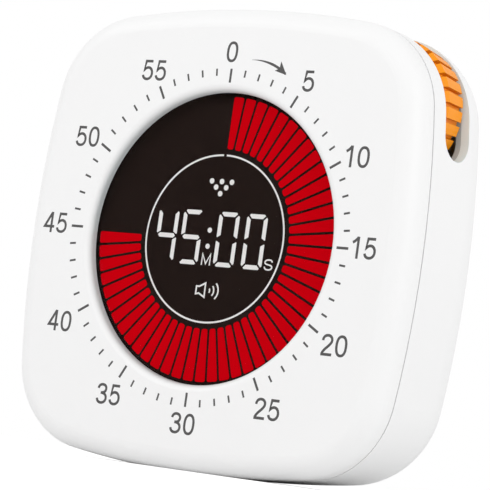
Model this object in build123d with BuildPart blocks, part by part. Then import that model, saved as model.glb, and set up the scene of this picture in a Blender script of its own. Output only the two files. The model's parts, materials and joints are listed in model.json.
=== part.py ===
from build123d import *

import os
from math import sqrt

# Visual countdown timer: a pebble-shaped case with a round recessed display and a ribbed
# thumbwheel that stands out of a slot over the top right corner.
#
# Frame: millimetres, +X to the right of someone facing the dial, +Y from the face to the back,
# +Z up. The origin is the middle of the footprint, on the surface that the timer stands on.
# Depths are counted backwards from the front face; x and z inside sketches are counted from the
# centre of the dial.

os.makedirs("parts", exist_ok=True)

# ---------------------------------------------------------------- driving dimensions
# Case
case_half_width = 45.0
side_bulge_radius = 209.0
corner_radius = 18.1
case_depth = 31.5
standing_flat_cut = 0.4
front_edge_radius = 4.2
rear_edge_radius = 12.0
inner_back_bevel = 7.0
wall = 2.0
draft_angle = 1.0
seam_depth = 5.8
seam_gap = 0.35
tongue_length = 2.0
tongue_thickness = 0.9
tongue_clearance = 0.15

# Window and display stack
window_margin = 16.7
window_recess = 2.1
window_lip_radius = 1.45
lens_rebate = 1.7
lens_thickness = 0.7
lens_ring_width = 1.5
slip_clearance = 0.1
glass_extra_height = 0.5
glass_corner_chamfer = 3.6
glass_thickness = 0.9
contact_ledge = 2.0
film_thickness = 0.2
diffuser_thickness = 0.3
guide_thickness = 1.8
guide_overlap = 0.2
reflector_thickness = 0.2
holder_wall = 2.4
holder_back = 0.8
holder_corner_chamfer = 6.0
zebra_end_room = 4.5
zebra_thickness = 1.3
backlight_thickness = 1.3
backlight_end_room = 5.9

# Main board
board_thickness = 1.2
board_inset = 4.8
board_screw_margin = 8.0
board_screw_z = 12.0
board_boss_radius = 2.4
board_screw_radius = 1.0
board_screw_head_radius = 2.0
board_screw_head_height = 1.2
board_screw_reach = 4.5

# Case screws
corner_screw_margin = 11.2
top_screw_x = 9.5
top_screw_margin = 7.0
boss_meeting_depth = 12.0
front_boss_radius = 3.2
rear_post_radius = 3.9
case_screw_radius = 1.3
case_screw_length = 12.0
case_screw_head_radius = 2.4
case_screw_head_height = 1.8
screw_seat_depth = 20.0
head_clearance = 0.3
shank_clearance = 0.3
thread_clearance = 0.03

# Slot and thumbwheel
slot_front_depth = 10.3
slot_width = 8.9
slot_reach = 25.9
collar_depth = 1.1
collar_width = 1.2
wheel_side_margin = 15.85
wheel_top_margin = 16.3
wheel_crest_radius = 13.2
wheel_front_radius = 12.2
wheel_rear_radius = 12.5
wheel_front_gap = 0.6
wheel_width = 7.5
wheel_bevel = 1.4
groove_count = 28
groove_width = 0.85
groove_depth = 0.85
groove_start_angle = 3.8
wheel_rim = 2.0
wheel_web = 1.6
wheel_hub_radius = 4.4
shaft_radius = 3.0
shaft_flat = 1.5
running_clearance = 0.05
encoder_half_size = 5.5
encoder_height = 4.5
encoder_bush_radius = 3.8
encoder_bush_height = 0.5
encoder_floor = 0.6
axle_gap = 0.3
axle_support_radius = 5.0
axle_support_gap = 0.4
axle_engagement = 2.6

# Battery bay and door
cell_radius = 5.1
cell_length = 44.0
cell_nub_radius = 1.9
cell_nub_length = 0.8
cell_pitch = 11.2
cell_count = 3
bay_end_room = 3.6
bay_wall = 1.4
bay_floor = 1.3
bay_centre_z = -14.1
bay_clearance = 0.3
door_ledge = 1.2
door_gap = 0.3
door_thickness = 1.8
door_corner_radius = 3.0
hook_x = 16.0
hook_width = 6.0
hook_thickness = 1.1
hook_reach = 1.8
hook_root = 2.0
hook_gap = 0.5
hook_room = 1.8
latch_width = 14.0
latch_length = 7.0
latch_slit = 0.8
grip_rib_count = 3
grip_rib_pitch = 1.6
grip_rib_height = 0.5
thumb_scoop_width = 13.0
thumb_scoop_height = 5.0
thumb_scoop_depth = 1.0
pad_thickness = 0.25
pad_width = 40.0
pad_height = 6.0
contact_thickness = 0.4
contact_width = 6.0
contact_height = 8.0

# Rear controls
control_x = 6.0
slider_margin = 19.0
slider_travel = 4.0
slider_width = 5.0
slider_height = 3.2
slider_base_thickness = 1.0
slider_base_overlap = 2.0
scoop_margin = 1.6
scoop_depth = 1.0
control_flush_gap = 0.1
control_gap = 0.2
behind_wall_gap = 0.3
button_spacing = 12.0
button_radius = 4.0
button_flange_radius = 5.0
button_flange_thickness = 0.6
button_stroke = 0.5
button_bevel = 0.4
switch_board_half_width = 12.0
switch_board_end_room = 3.6
switch_board_drop = 5.5
switch_post_x = 9.4
switch_post_radius = 2.2
slide_body_length = 8.6
slide_body_height = 3.6
slide_body_thickness = 1.6
lever_width = 1.6
tact_body_size = 6.0
tact_body_thickness = 1.8
plunger_radius = 1.7

# Speaker
speaker_side_margin = 25.5
speaker_top_margin = 24.0
piezo_radius = 10.0
piezo_plate_thickness = 0.2
ceramic_radius = 7.0
speaker_rib_width = 1.2
speaker_cavity = 0.7
speaker_ring_thickness = 0.9
sound_hole_radius = 0.8
sound_hole_circle = 4.5
sound_hole_count = 6

# Parts on the main board
blob_x = -12.0
blob_z = -4.0
blob_radius = 6.0
blob_height = 1.6
blob_bevel = 1.2
chip_x = 11.0
chip_z = -8.0
chip_length = 10.0
chip_width = 5.4
chip_height = 1.5
chip_standoff = 0.2
chip_leg_pitch = 1.6
chip_leg_count = 6
chip_leg_reach = 1.0
chip_leg_thickness = 0.3
crystal_x = 8.0
crystal_z = 6.0
crystal_length = 8.0
crystal_width = 3.2
crystal_height = 2.4
capacitor_side_margin = 18.0
capacitor_top_margin = 23.0
capacitor_pitch = 7.0
capacitor_radius = 2.5
capacitor_height = 5.0
connector_margin = 19.0
connector_z = -14.0
connector_length = 9.8
connector_width = 4.4
connector_room = 1.55
connector_wall = 0.7
connector_pin_pitch = 2.0
connector_pin_count = 4
connector_pin_size = 0.5

# ---------------------------------------------------------------- worked-out places
dial_height = case_half_width - standing_flat_cut
window_radius = case_half_width - window_margin
lens_radius = window_radius + lens_rebate
glass_half_width = lens_radius + slip_clearance
glass_half_height = glass_half_width + glass_extra_height
guide_half_size = window_radius + guide_overlap
zebra_length = 2 * (glass_half_width - zebra_end_room)
backlight_length = 2 * (guide_half_size - backlight_end_room)
lens_seat_depth = window_recess
rear_start_depth = seam_depth + seam_gap
ring_depth = window_recess + lens_thickness + slip_clearance
front_glass_depth = ring_depth
rear_glass_depth = front_glass_depth + glass_thickness
film_depth = rear_glass_depth + glass_thickness
diffuser_depth = film_depth + film_thickness
guide_depth = diffuser_depth + diffuser_thickness
reflector_depth = guide_depth + guide_thickness
holder_depth = reflector_depth + reflector_thickness
board_depth = holder_depth + holder_back + slip_clearance
board_rear_depth = board_depth + board_thickness

wheel_x = case_half_width - wheel_side_margin
wheel_z = case_half_width - wheel_top_margin
slot_end = case_half_width - slot_reach
slot_middle_depth = slot_front_depth + slot_width / 2
wheel_front_depth = slot_front_depth + wheel_front_gap
wheel_crest_depth = wheel_front_depth + wheel_bevel
wheel_rear_depth = wheel_front_depth + wheel_width
encoder_top_depth = board_rear_depth + encoder_height
bush_end_depth = encoder_top_depth + encoder_bush_height
web_front_depth = bush_end_depth + axle_gap
axle_support_depth = wheel_rear_depth + axle_support_gap
shaft_end_depth = axle_support_depth + axle_engagement

back_inside_depth = case_depth - wall
door_seat_depth = case_depth - door_thickness
bay_half_length = cell_length / 2 + cell_nub_length + bay_end_room / 2
bay_half_height = (cell_pitch * cell_count + 2 * bay_clearance) / 2
cell_depth = door_seat_depth - bay_clearance - pad_thickness - cell_radius
bay_floor_depth = cell_depth - cell_radius - slip_clearance
door_half_width = bay_half_length + door_ledge - door_gap
door_half_height = bay_half_height + door_ledge - door_gap
door_bottom_z = bay_centre_z - door_half_height
door_top_z = bay_centre_z + door_half_height

slider_z = case_half_width - slider_margin
button_z = slider_z - button_spacing
switch_board_z = (slider_z + button_z) / 2
switch_board_half_height = button_spacing / 2 + switch_board_end_room
switch_board_depth = back_inside_depth - switch_board_drop
control_base_depth = back_inside_depth - behind_wall_gap
slider_front_depth = control_base_depth - slider_base_thickness
switch_board_rear_depth = switch_board_depth + board_thickness
tact_front_depth = switch_board_rear_depth + tact_body_thickness
speaker_x = speaker_side_margin - case_half_width
speaker_z = case_half_width - speaker_top_margin
plate_rear_depth = back_inside_depth - speaker_cavity

board_screw_x = case_half_width - board_screw_margin
corner_screw_offset = case_half_width - corner_screw_margin
top_screw_z = case_half_width - top_screw_margin
connector_x = connector_margin - case_half_width
connector_height = bay_floor_depth - bay_floor - board_rear_depth - connector_room
capacitor_x = capacitor_side_margin - case_half_width
capacitor_z = case_half_width - capacitor_top_margin
corner_screws = [
    (corner_screw_offset, -corner_screw_offset),
    (-corner_screw_offset, -corner_screw_offset),
    (-corner_screw_offset, corner_screw_offset),
    (top_screw_x, top_screw_z),
]
board_screw_points = [
    (side * board_screw_x, level * board_screw_z) for side in (-1, 1) for level in (-1, 1)
]
switch_post_points = [
    (control_x + side * switch_post_x, switch_board_z) for side in (-1, 1)
]
row_heights = [
    bay_centre_z + (row - (cell_count - 1) / 2) * cell_pitch for row in range(cell_count)
]


# ---------------------------------------------------------------- helpers
def behind_face(depth, x=0.0, z=0.0):
    """Plane parallel to the front face, this far behind it, facing forwards, at a dial point."""
    return Plane(origin=(x, depth - case_depth / 2, dial_height + z), x_dir=(1, 0, 0), z_dir=(0, -1, 0))


def from_back(depth, x=0.0, z=0.0):
    """Plane parallel to the front face at a dial point, facing backwards."""
    return Plane(origin=(x, depth - case_depth / 2, dial_height + z), x_dir=(-1, 0, 0), z_dir=(0, 1, 0))


def turning_plane(x, z):
    """Plane for profiles turned about a front-to-back axis: sketch x is radius, sketch y is depth."""
    return Plane(origin=(x, -case_depth / 2, dial_height + z), x_dir=(1, 0, 0), z_dir=(0, 0, 1))


def turning_axis(x, z):
    """Front-to-back axis through a dial point."""
    return Axis((x, 0, dial_height + z), (0, 1, 0))


def case_outline(inset=0.0):
    """Outline of the case, this far inside its outer surface: bulged sides and round corners."""
    half = case_half_width - inset
    bulge = side_bulge_radius - inset
    shift = bulge - half
    tip = (sqrt(2 * bulge**2 - shift**2) - shift) / 2
    with BuildSketch(Plane.XY, mode=Mode.PRIVATE) as outline:
        with BuildLine():
            ThreePointArc((tip, -tip), (half, 0), (tip, tip))
            ThreePointArc((tip, tip), (0, half), (-tip, tip))
            ThreePointArc((-tip, tip), (-half, 0), (-tip, -tip))
            ThreePointArc((-tip, -tip), (0, -half), (tip, -tip))
        make_face()
        fillet(outline.vertices(), radius=corner_radius - inset)
    return outline.sketch


def rear_form(inset, rounded):
    """Drafted block of the rear half's form, this far inside its outside, its back rounded or bevelled."""
    outline = case_outline(inset)
    with BuildPart() as form:
        with BuildSketch(behind_face(rear_start_depth)):
            add(outline)
        extrude(amount=-(case_depth - inset - rear_start_depth), taper=draft_angle)
        back_edges = form.faces().sort_by(Axis.Y)[-1].edges()
        if rounded:
            fillet(back_edges, radius=rear_edge_radius - inset)
        else:
            chamfer(back_edges, length=inner_back_bevel)
    return form.part


def glass_outline(half_width, half_height, chamfer_size):
    """Rectangle with clipped corners, as display glass and its holder have."""
    with BuildSketch(Plane.XY, mode=Mode.PRIVATE) as outline:
        Rectangle(2 * half_width, 2 * half_height)
        chamfer(outline.vertices(), length=chamfer_size)
    return outline.sketch


# ---------------------------------------------------------------- front shell
front_outline = case_outline()
front_inner_outline = case_outline(wall)
tongue_outline = case_outline(wall - tongue_thickness)
ring_radius = lens_radius + slip_clearance + lens_ring_width

with BuildPart() as front_shell:
    with BuildSketch(behind_face(0)):
        add(front_outline)
    extrude(amount=-seam_depth)
    fillet(front_shell.faces().sort_by(Axis.Y)[0].edges(), radius=front_edge_radius)
    # Hollow behind the face, open to the rear
    with BuildSketch(behind_face(wall)):
        add(front_inner_outline)
    extrude(amount=-(seam_depth - wall), mode=Mode.SUBTRACT)
    inner_floor = front_shell.faces().filter_by(Axis.Y).sort_by(Axis.Y)[1]
    chamfer(inner_floor.edges(), length=front_edge_radius - wall)
    # Tongue that laps inside the rear shell
    with BuildSketch(behind_face(seam_depth)):
        add(tongue_outline)
        add(front_inner_outline, mode=Mode.SUBTRACT)
    extrude(amount=-tongue_length)
    # Ring that carries the lens, with its rebate and the rounded window
    with BuildSketch(behind_face(wall / 2)):
        Circle(ring_radius)
    extrude(amount=-(ring_depth - wall / 2))
    with BuildSketch(behind_face(lens_seat_depth)):
        Circle(lens_radius + slip_clearance)
    extrude(amount=-lens_thickness - slip_clearance, mode=Mode.SUBTRACT)
    with BuildSketch(behind_face(0)):
        Circle(window_radius)
    extrude(amount=-ring_depth, mode=Mode.SUBTRACT)
    fillet(front_shell.edges().filter_by(GeomType.CIRCLE).sort_by(Axis.Y)[0], radius=window_lip_radius)
    # Bosses for the case screws and for the main board
    with BuildSketch(behind_face(wall / 2)):
        with Locations(*corner_screws):
            Circle(front_boss_radius)
    extrude(amount=-(boss_meeting_depth - wall / 2))
    with BuildSketch(behind_face(wall / 2)):
        with Locations(*board_screw_points):
            Circle(board_boss_radius)
    extrude(amount=-(board_depth - wall / 2))
    with Locations(*[from_back(boss_meeting_depth, x, z) for x, z in corner_screws]):
        Hole(radius=case_screw_radius + thread_clearance, depth=screw_seat_depth - boss_meeting_depth)
    with Locations(*[from_back(board_depth, x, z) for x, z in board_screw_points]):
        Hole(radius=board_screw_radius + thread_clearance, depth=board_screw_reach + slip_clearance)
    split(bisect_by=Plane.XY, keep=Keep.TOP)
front_shell.part.label = "front_shell"
export_step(front_shell.part, "parts/front_shell.step")

# ---------------------------------------------------------------- rear shell
outer_form = rear_form(0, rounded=True)
inner_form = rear_form(wall, rounded=False)
fusing_form = rear_form(wall / 2, rounded=True)
lap_outline = case_outline(wall - tongue_thickness - tongue_clearance)
collar_outer = case_outline(wall / 2)
collar_inner = case_outline(wall + collar_depth)
slot_end_radius = slot_width / 2
slot_end_centre = slot_end + slot_end_radius
far_out = case_half_width + corner_radius
slider_opening = slider_width + slider_travel + 2 * control_gap
slider_middle_x = control_x + slider_travel / 2

# Inner walls, posts and bosses, trimmed to the case's own form
with BuildPart() as rear_inner:
    # Posts for the case screws
    with BuildSketch(behind_face(back_inside_depth)):
        with Locations(*corner_screws):
            Circle(rear_post_radius)
    extrude(amount=back_inside_depth - boss_meeting_depth - slip_clearance)
    # Collar round the wheel slot
    with BuildSketch(behind_face(slot_front_depth - collar_width)):
        add(collar_outer)
        add(collar_inner, mode=Mode.SUBTRACT)
        with Locations((slot_end - collar_width, slot_end - collar_width)):
            Rectangle(far_out, far_out, align=(Align.MIN, Align.MIN), mode=Mode.INTERSECT)
    extrude(amount=-(slot_width + 2 * collar_width))
    # Support for the rear end of the wheel's shaft
    with BuildSketch(behind_face(back_inside_depth + wall / 2, wheel_x, wheel_z)):
        Circle(axle_support_radius)
    extrude(amount=back_inside_depth + wall / 2 - axle_support_depth)
    with Locations(behind_face(axle_support_depth, wheel_x, wheel_z)):
        Hole(radius=shaft_radius + running_clearance, depth=axle_engagement + axle_gap)
    # Battery bay
    with BuildSketch(behind_face(door_seat_depth, 0, bay_centre_z)):
        Rectangle(2 * (bay_half_length + bay_wall), 2 * (bay_half_height + bay_wall))
    extrude(amount=door_seat_depth - bay_floor_depth + bay_floor)
    # Rib round the speaker and its ledge
    with BuildSketch(behind_face(back_inside_depth, speaker_x, speaker_z)):
        Circle(piezo_radius + slip_clearance + speaker_rib_width)
    extrude(amount=speaker_cavity + piezo_plate_thickness * 2 + speaker_ring_thickness)
    # Posts for the switch board
    with BuildSketch(behind_face(back_inside_depth)):
        with Locations(*switch_post_points):
            Circle(switch_post_radius)
    extrude(amount=back_inside_depth - switch_board_rear_depth)
    add(fusing_form, mode=Mode.INTERSECT)

with BuildPart() as rear_shell:
    add(outer_form)
    add(inner_form, mode=Mode.SUBTRACT)
    # Wider mouth that takes the front shell's tongue
    with BuildSketch(behind_face(rear_start_depth)):
        add(lap_outline)
    extrude(amount=-(tongue_length - seam_gap + tongue_clearance), mode=Mode.SUBTRACT)
    add(rear_inner.part)
    # Wheel slot over the corner, with a round end on the side and on the top
    with BuildSketch(behind_face(slot_front_depth)):
        with Locations((slot_end_centre, slot_end_centre)):
            Rectangle(far_out, far_out, align=(Align.MIN, Align.MIN))
        with Locations((wheel_x, wheel_z)):
            Circle(axle_support_radius + slip_clearance, mode=Mode.SUBTRACT)
    extrude(amount=-slot_width, mode=Mode.SUBTRACT)
    with BuildSketch(Plane.YZ.offset(wheel_x)):
        with Locations((slot_middle_depth - case_depth / 2, dial_height + slot_end_centre)):
            Circle(slot_end_radius)
    extrude(amount=far_out, mode=Mode.SUBTRACT)
    with BuildSketch(Plane.XY.offset(dial_height + wheel_z)):
        with Locations((slot_end_centre, slot_middle_depth - case_depth / 2)):
            Circle(slot_end_radius)
    extrude(amount=far_out, mode=Mode.SUBTRACT)
    # Battery bay, its door opening, the rooms for the door's hooks and the thumb scoop
    with BuildSketch(behind_face(bay_floor_depth, 0, bay_centre_z)):
        Rectangle(2 * bay_half_length, 2 * bay_half_height)
    extrude(amount=-(case_depth - bay_floor_depth), mode=Mode.SUBTRACT)
    with BuildSketch(behind_face(door_seat_depth, 0, bay_centre_z)):
        RectangleRounded(
            2 * (door_half_width + door_gap),
            2 * (door_half_height + door_gap),
            door_corner_radius + door_gap,
        )
    extrude(amount=-door_thickness, mode=Mode.SUBTRACT)
    hook_depth = door_seat_depth - hook_gap - hook_thickness
    with BuildSketch(behind_face(hook_depth - hook_room, 0, bay_centre_z - bay_half_height)):
        with Locations((-hook_x, 0), (hook_x, 0)):
            Rectangle(hook_width + 2 * bay_clearance, 2 * (bay_wall + slip_clearance))
    extrude(amount=-(hook_room + hook_thickness + hook_gap), mode=Mode.SUBTRACT)
    with BuildSketch(behind_face(case_depth - thumb_scoop_depth, 0, door_top_z + door_gap)):
        Ellipse(thumb_scoop_width / 2, thumb_scoop_height)
    extrude(amount=-thumb_scoop_depth, mode=Mode.SUBTRACT)
    # Speaker seat and sound holes
    with BuildSketch(behind_face(plate_rear_depth, speaker_x, speaker_z)):
        Circle(piezo_radius + slip_clearance)
    extrude(amount=case_depth, mode=Mode.SUBTRACT)
    with BuildSketch(behind_face(plate_rear_depth, speaker_x, speaker_z)):
        Circle(piezo_radius - speaker_rib_width)
    extrude(amount=-speaker_cavity, mode=Mode.SUBTRACT)
    with Locations(from_back(case_depth, speaker_x, speaker_z)):
        Hole(radius=sound_hole_radius, depth=wall + speaker_cavity)
        with PolarLocations(sound_hole_circle, sound_hole_count):
            Hole(radius=sound_hole_radius, depth=wall + speaker_cavity)
    # Scoop and opening of the volume slider, opening of the button
    with BuildSketch(behind_face(case_depth - scoop_depth, slider_middle_x, slider_z)):
        SlotOverall(slider_opening + 2 * scoop_margin, slider_height + 2 * scoop_margin)
    extrude(amount=-scoop_depth, mode=Mode.SUBTRACT)
    with BuildSketch(behind_face(back_inside_depth, slider_middle_x, slider_z)):
        Rectangle(slider_opening, slider_height + 2 * control_gap)
    extrude(amount=-wall, mode=Mode.SUBTRACT)
    with Locations(from_back(case_depth, control_x, button_z)):
        Hole(radius=button_radius + control_gap, depth=wall)
    # Counterbored case screws and the switch board's screws
    with Locations(*[from_back(case_depth, x, z) for x, z in corner_screws]):
        CounterBoreHole(
            radius=case_screw_radius + shank_clearance,
            counter_bore_radius=case_screw_head_radius + head_clearance,
            counter_bore_depth=case_depth - screw_seat_depth,
            depth=case_depth - boss_meeting_depth,
        )
    with Locations(*[behind_face(switch_board_rear_depth, x, z) for x, z in switch_post_points]):
        Hole(radius=board_screw_radius + thread_clearance, depth=board_screw_reach - board_thickness)
    split(bisect_by=Plane.XY, keep=Keep.TOP)
rear_shell.part.label = "rear_shell"
export_step(rear_shell.part, "parts/rear_shell.step")

# ---------------------------------------------------------------- display stack
front_glass_outline = glass_outline(glass_half_width, glass_half_height, glass_corner_chamfer)
rear_glass_half_height = glass_half_height - contact_ledge
rear_glass_outline = glass_outline(
    glass_half_width, rear_glass_half_height, glass_corner_chamfer - contact_ledge
)

with BuildPart() as display_lens:
    with BuildSketch(behind_face(lens_seat_depth)):
        Circle(lens_radius)
    extrude(amount=-lens_thickness)
display_lens.part.label = "display_lens"
export_step(display_lens.part, "parts/display_lens.step")

with BuildPart() as lcd_front_glass:
    with BuildSketch(behind_face(front_glass_depth)):
        add(front_glass_outline)
    extrude(amount=-glass_thickness)
lcd_front_glass.part.label = "lcd_front_glass"
export_step(lcd_front_glass.part, "parts/lcd_front_glass.step")

with BuildPart() as lcd_rear_glass:
    with BuildSketch(behind_face(rear_glass_depth)):
        add(rear_glass_outline)
    extrude(amount=-glass_thickness)
lcd_rear_glass.part.label = "lcd_rear_glass"
export_step(lcd_rear_glass.part, "parts/lcd_rear_glass.step")

with BuildPart() as display_film:
    with BuildSketch(behind_face(film_depth)):
        Rectangle(2 * guide_half_size, 2 * guide_half_size)
    extrude(amount=-film_thickness)
display_film.part.label = "display_film"
export_step(display_film.part, "parts/display_film.step")

with BuildPart() as diffuser_sheet:
    with BuildSketch(behind_face(diffuser_depth)):
        Rectangle(2 * guide_half_size, 2 * guide_half_size)
    extrude(amount=-diffuser_thickness)
diffuser_sheet.part.label = "diffuser_sheet"
export_step(diffuser_sheet.part, "parts/diffuser_sheet.step")

with BuildPart() as light_guide:
    with BuildSketch(behind_face(guide_depth)):
        Rectangle(2 * guide_half_size, 2 * guide_half_size)
    extrude(amount=-guide_thickness)
light_guide.part.label = "light_guide"
export_step(light_guide.part, "parts/light_guide.step")

with BuildPart() as reflector_sheet:
    with BuildSketch(behind_face(reflector_depth)):
        Rectangle(2 * guide_half_size, 2 * guide_half_size)
    extrude(amount=-reflector_thickness)
reflector_sheet.part.label = "reflector_sheet"
export_step(reflector_sheet.part, "parts/reflector_sheet.step")

# Strip of three lamps that lights the guide from its edge
with BuildPart() as backlight_strip:
    with BuildSketch(behind_face(guide_depth, guide_half_size + slip_clearance)):
        Rectangle(backlight_thickness, backlight_length, align=(Align.MIN, Align.CENTER))
    extrude(amount=-guide_thickness)
    notch = backlight_length / 4
    with BuildSketch(behind_face(guide_depth, guide_half_size + slip_clearance)):
        with GridLocations(0, notch, 1, 4):
            Rectangle(backlight_thickness, notch / 2)
    extrude(amount=-guide_thickness, mode=Mode.SUBTRACT)
backlight_strip.part.label = "backlight_strip"
export_step(backlight_strip.part, "parts/backlight_strip.step")

# Tray that holds the glass and the backlight against the front shell
zebra_z = (rear_glass_half_height + glass_half_height) / 2
holder_front_depth = wall + slip_clearance
with BuildPart() as display_holder:
    with BuildSketch(behind_face(holder_front_depth)):
        add(
            glass_outline(
                glass_half_width + slip_clearance + holder_wall,
                glass_half_height + slip_clearance + holder_wall,
                holder_corner_chamfer,
            )
        )
    extrude(amount=-(holder_depth + holder_back - holder_front_depth))
    with BuildSketch(behind_face(holder_front_depth)):
        add(
            glass_outline(
                glass_half_width + slip_clearance,
                glass_half_height + slip_clearance,
                glass_corner_chamfer,
            )
        )
    extrude(amount=-(holder_depth - holder_front_depth), mode=Mode.SUBTRACT)
    with BuildSketch(behind_face(holder_front_depth)):
        Circle(ring_radius + slip_clearance)
    extrude(amount=-(front_glass_depth - holder_front_depth), mode=Mode.SUBTRACT)
    with BuildSketch(behind_face(holder_depth)):
        with Locations((0, -zebra_z), (0, zebra_z)):
            Rectangle(zebra_length + 2 * slip_clearance, zebra_thickness + 2 * slip_clearance)
        Circle(guide_half_size / 2)
    extrude(amount=-holder_back, mode=Mode.SUBTRACT)
display_holder.part.label = "display_holder"
export_step(display_holder.part, "parts/display_holder.step")

# Striped rubber connectors between the glass's ledges and the board
with BuildPart() as zebra_strips:
    with BuildSketch(behind_face(rear_glass_depth)):
        with Locations((0, -zebra_z), (0, zebra_z)):
            Rectangle(zebra_length, zebra_thickness)
    extrude(amount=-(board_depth - rear_glass_depth))
zebra_strips.part.label = "zebra_strips"
export_step(zebra_strips.part, "parts/zebra_strips.step")

# ---------------------------------------------------------------- main board and what is on it
board_outline = case_outline(board_inset)

with BuildPart() as main_board:
    with BuildSketch(behind_face(board_depth)):
        add(board_outline)
        with Locations(*corner_screws):
            Circle(front_boss_radius + shank_clearance * 2, mode=Mode.SUBTRACT)
        with Locations(*board_screw_points):
            Circle(board_screw_radius + shank_clearance, mode=Mode.SUBTRACT)
    extrude(amount=-board_thickness)
main_board.part.label = "main_board"
export_step(main_board.part, "parts/main_board.step")


def pan_screws(seats, shank_radius, reach, head_radius, head_height):
    """Pan-head screws on seats that share one depth; a seat faces the way its head stands."""
    with BuildPart() as screws:
        with Locations(*seats):
            Cylinder(head_radius, head_height, align=(Align.CENTER, Align.CENTER, Align.MIN))
        crowns = screws.edges().filter_by(GeomType.CIRCLE).group_by(Axis((0, 0, 0), seats[0].z_dir))[-1]
        chamfer(crowns, length=head_height / 2)
        with Locations(*seats):
            Cylinder(shank_radius, reach, align=(Align.CENTER, Align.CENTER, Align.MAX))
    return screws.part


board_screws = pan_screws(
    [from_back(board_rear_depth, x, z) for x, z in board_screw_points],
    board_screw_radius,
    board_screw_reach,
    board_screw_head_radius,
    board_screw_head_height,
)
board_screws.label = "board_screws"
export_step(board_screws, "parts/board_screws.step")

case_screws = pan_screws(
    [from_back(screw_seat_depth, x, z) for x, z in corner_screws],
    case_screw_radius,
    case_screw_length,
    case_screw_head_radius,
    case_screw_head_height,
)
case_screws.label = "case_screws"
export_step(case_screws, "parts/case_screws.step")

# Epoxy drop over the bare controller chip
with BuildPart() as controller_blob:
    with Locations(from_back(board_rear_depth, blob_x, blob_z)):
        Cylinder(blob_radius, blob_height, align=(Align.CENTER, Align.CENTER, Align.MIN))
    chamfer(controller_blob.faces().sort_by(Axis.Y)[-1].edges(), length=blob_bevel)
controller_blob.part.label = "controller_blob"
export_step(controller_blob.part, "parts/controller_blob.step")

# Display driver: a moulded block with a row of legs on each long side
with BuildPart() as driver_chip:
    with BuildSketch(behind_face(board_rear_depth + chip_standoff, chip_x, chip_z)):
        Rectangle(chip_length, chip_width)
    extrude(amount=-chip_height)
    chamfer(driver_chip.faces().sort_by(Axis.Y)[-1].edges(), length=chip_standoff)
    with BuildSketch(behind_face(board_rear_depth, chip_x, chip_z)):
        with GridLocations(chip_leg_pitch, chip_width + chip_leg_reach, chip_leg_count, 2):
            Rectangle(chip_leg_pitch / 2, chip_leg_reach)
    extrude(amount=-(chip_standoff + chip_leg_thickness))
driver_chip.part.label = "driver_chip"
export_step(driver_chip.part, "parts/driver_chip.step")

# Watch crystal lying on the board
with BuildPart() as crystal_can:
    with BuildSketch(behind_face(board_rear_depth, crystal_x, crystal_z)):
        SlotOverall(crystal_length, crystal_width)
    extrude(amount=-crystal_height)
    chamfer(crystal_can.faces().sort_by(Axis.Y)[-1].edges(), length=crystal_height / 4)
crystal_can.part.label = "crystal_can"
export_step(crystal_can.part, "parts/crystal_can.step")

# Electrolytic capacitors standing on the board
with BuildPart() as capacitors:
    with Locations(
        from_back(board_rear_depth, capacitor_x, capacitor_z),
        from_back(board_rear_depth, capacitor_x + capacitor_pitch, capacitor_z),
    ):
        Cylinder(capacitor_radius, capacitor_height, align=(Align.CENTER, Align.CENTER, Align.MIN))
capacitors.part.label = "capacitors"
export_step(capacitors.part, "parts/capacitors.step")

# Socket for the battery, speaker and switch leads
with BuildPart() as lead_connector:
    with BuildSketch(behind_face(board_rear_depth, connector_x, connector_z)):
        Rectangle(connector_length, connector_width)
    extrude(amount=-connector_height)
    with BuildSketch(behind_face(board_rear_depth + connector_wall, connector_x, connector_z)):
        Rectangle(connector_length - 2 * connector_wall, connector_width - 2 * connector_wall)
    extrude(amount=-(connector_height - connector_wall), mode=Mode.SUBTRACT)
    with BuildSketch(behind_face(board_rear_depth + connector_wall, connector_x, connector_z)):
        with GridLocations(connector_pin_pitch, 0, connector_pin_count, 1):
            Rectangle(connector_pin_size, connector_pin_size)
    extrude(amount=-(connector_height - 2 * connector_wall))
lead_connector.part.label = "lead_connector"
export_step(lead_connector.part, "parts/lead_connector.step")

# ---------------------------------------------------------------- thumbwheel and its encoder
shaft_front_depth = board_rear_depth + encoder_floor
with BuildPart() as encoder_body:
    with BuildSketch(behind_face(board_rear_depth, wheel_x, wheel_z)):
        Rectangle(2 * encoder_half_size, 2 * encoder_half_size)
    extrude(amount=-encoder_height)
    chamfer(encoder_body.edges().filter_by(Axis.Y), length=encoder_floor)
    with BuildSketch(behind_face(encoder_top_depth, wheel_x, wheel_z)):
        Circle(encoder_bush_radius)
    extrude(amount=-encoder_bush_height)
    with Locations(from_back(bush_end_depth, wheel_x, wheel_z)):
        Hole(radius=shaft_radius + running_clearance, depth=bush_end_depth - shaft_front_depth)
encoder_body.part.label = "encoder_body"
export_step(encoder_body.part, "parts/encoder_body.step")

# Shaft with a flat along the stretch that carries the wheel
with BuildPart() as encoder_shaft:
    with BuildSketch(behind_face(shaft_front_depth + slip_clearance, wheel_x, wheel_z)):
        Circle(shaft_radius)
    extrude(amount=-(shaft_end_depth - shaft_front_depth - slip_clearance))
    with BuildSketch(behind_face(web_front_depth, wheel_x, wheel_z)):
        with Locations((0, shaft_radius - shaft_flat)):
            Rectangle(2 * shaft_radius, shaft_radius, align=(Align.CENTER, Align.MIN))
    extrude(amount=-(wheel_rear_depth - web_front_depth), mode=Mode.SUBTRACT)
    chamfer(encoder_shaft.faces().sort_by(Axis.Y)[-1].edges(), length=shaft_radius / 10)
encoder_shaft.part.label = "encoder_shaft"
export_step(encoder_shaft.part, "parts/encoder_shaft.step")

cup_radius = min(wheel_front_radius, wheel_rear_radius) - wheel_rim


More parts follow.
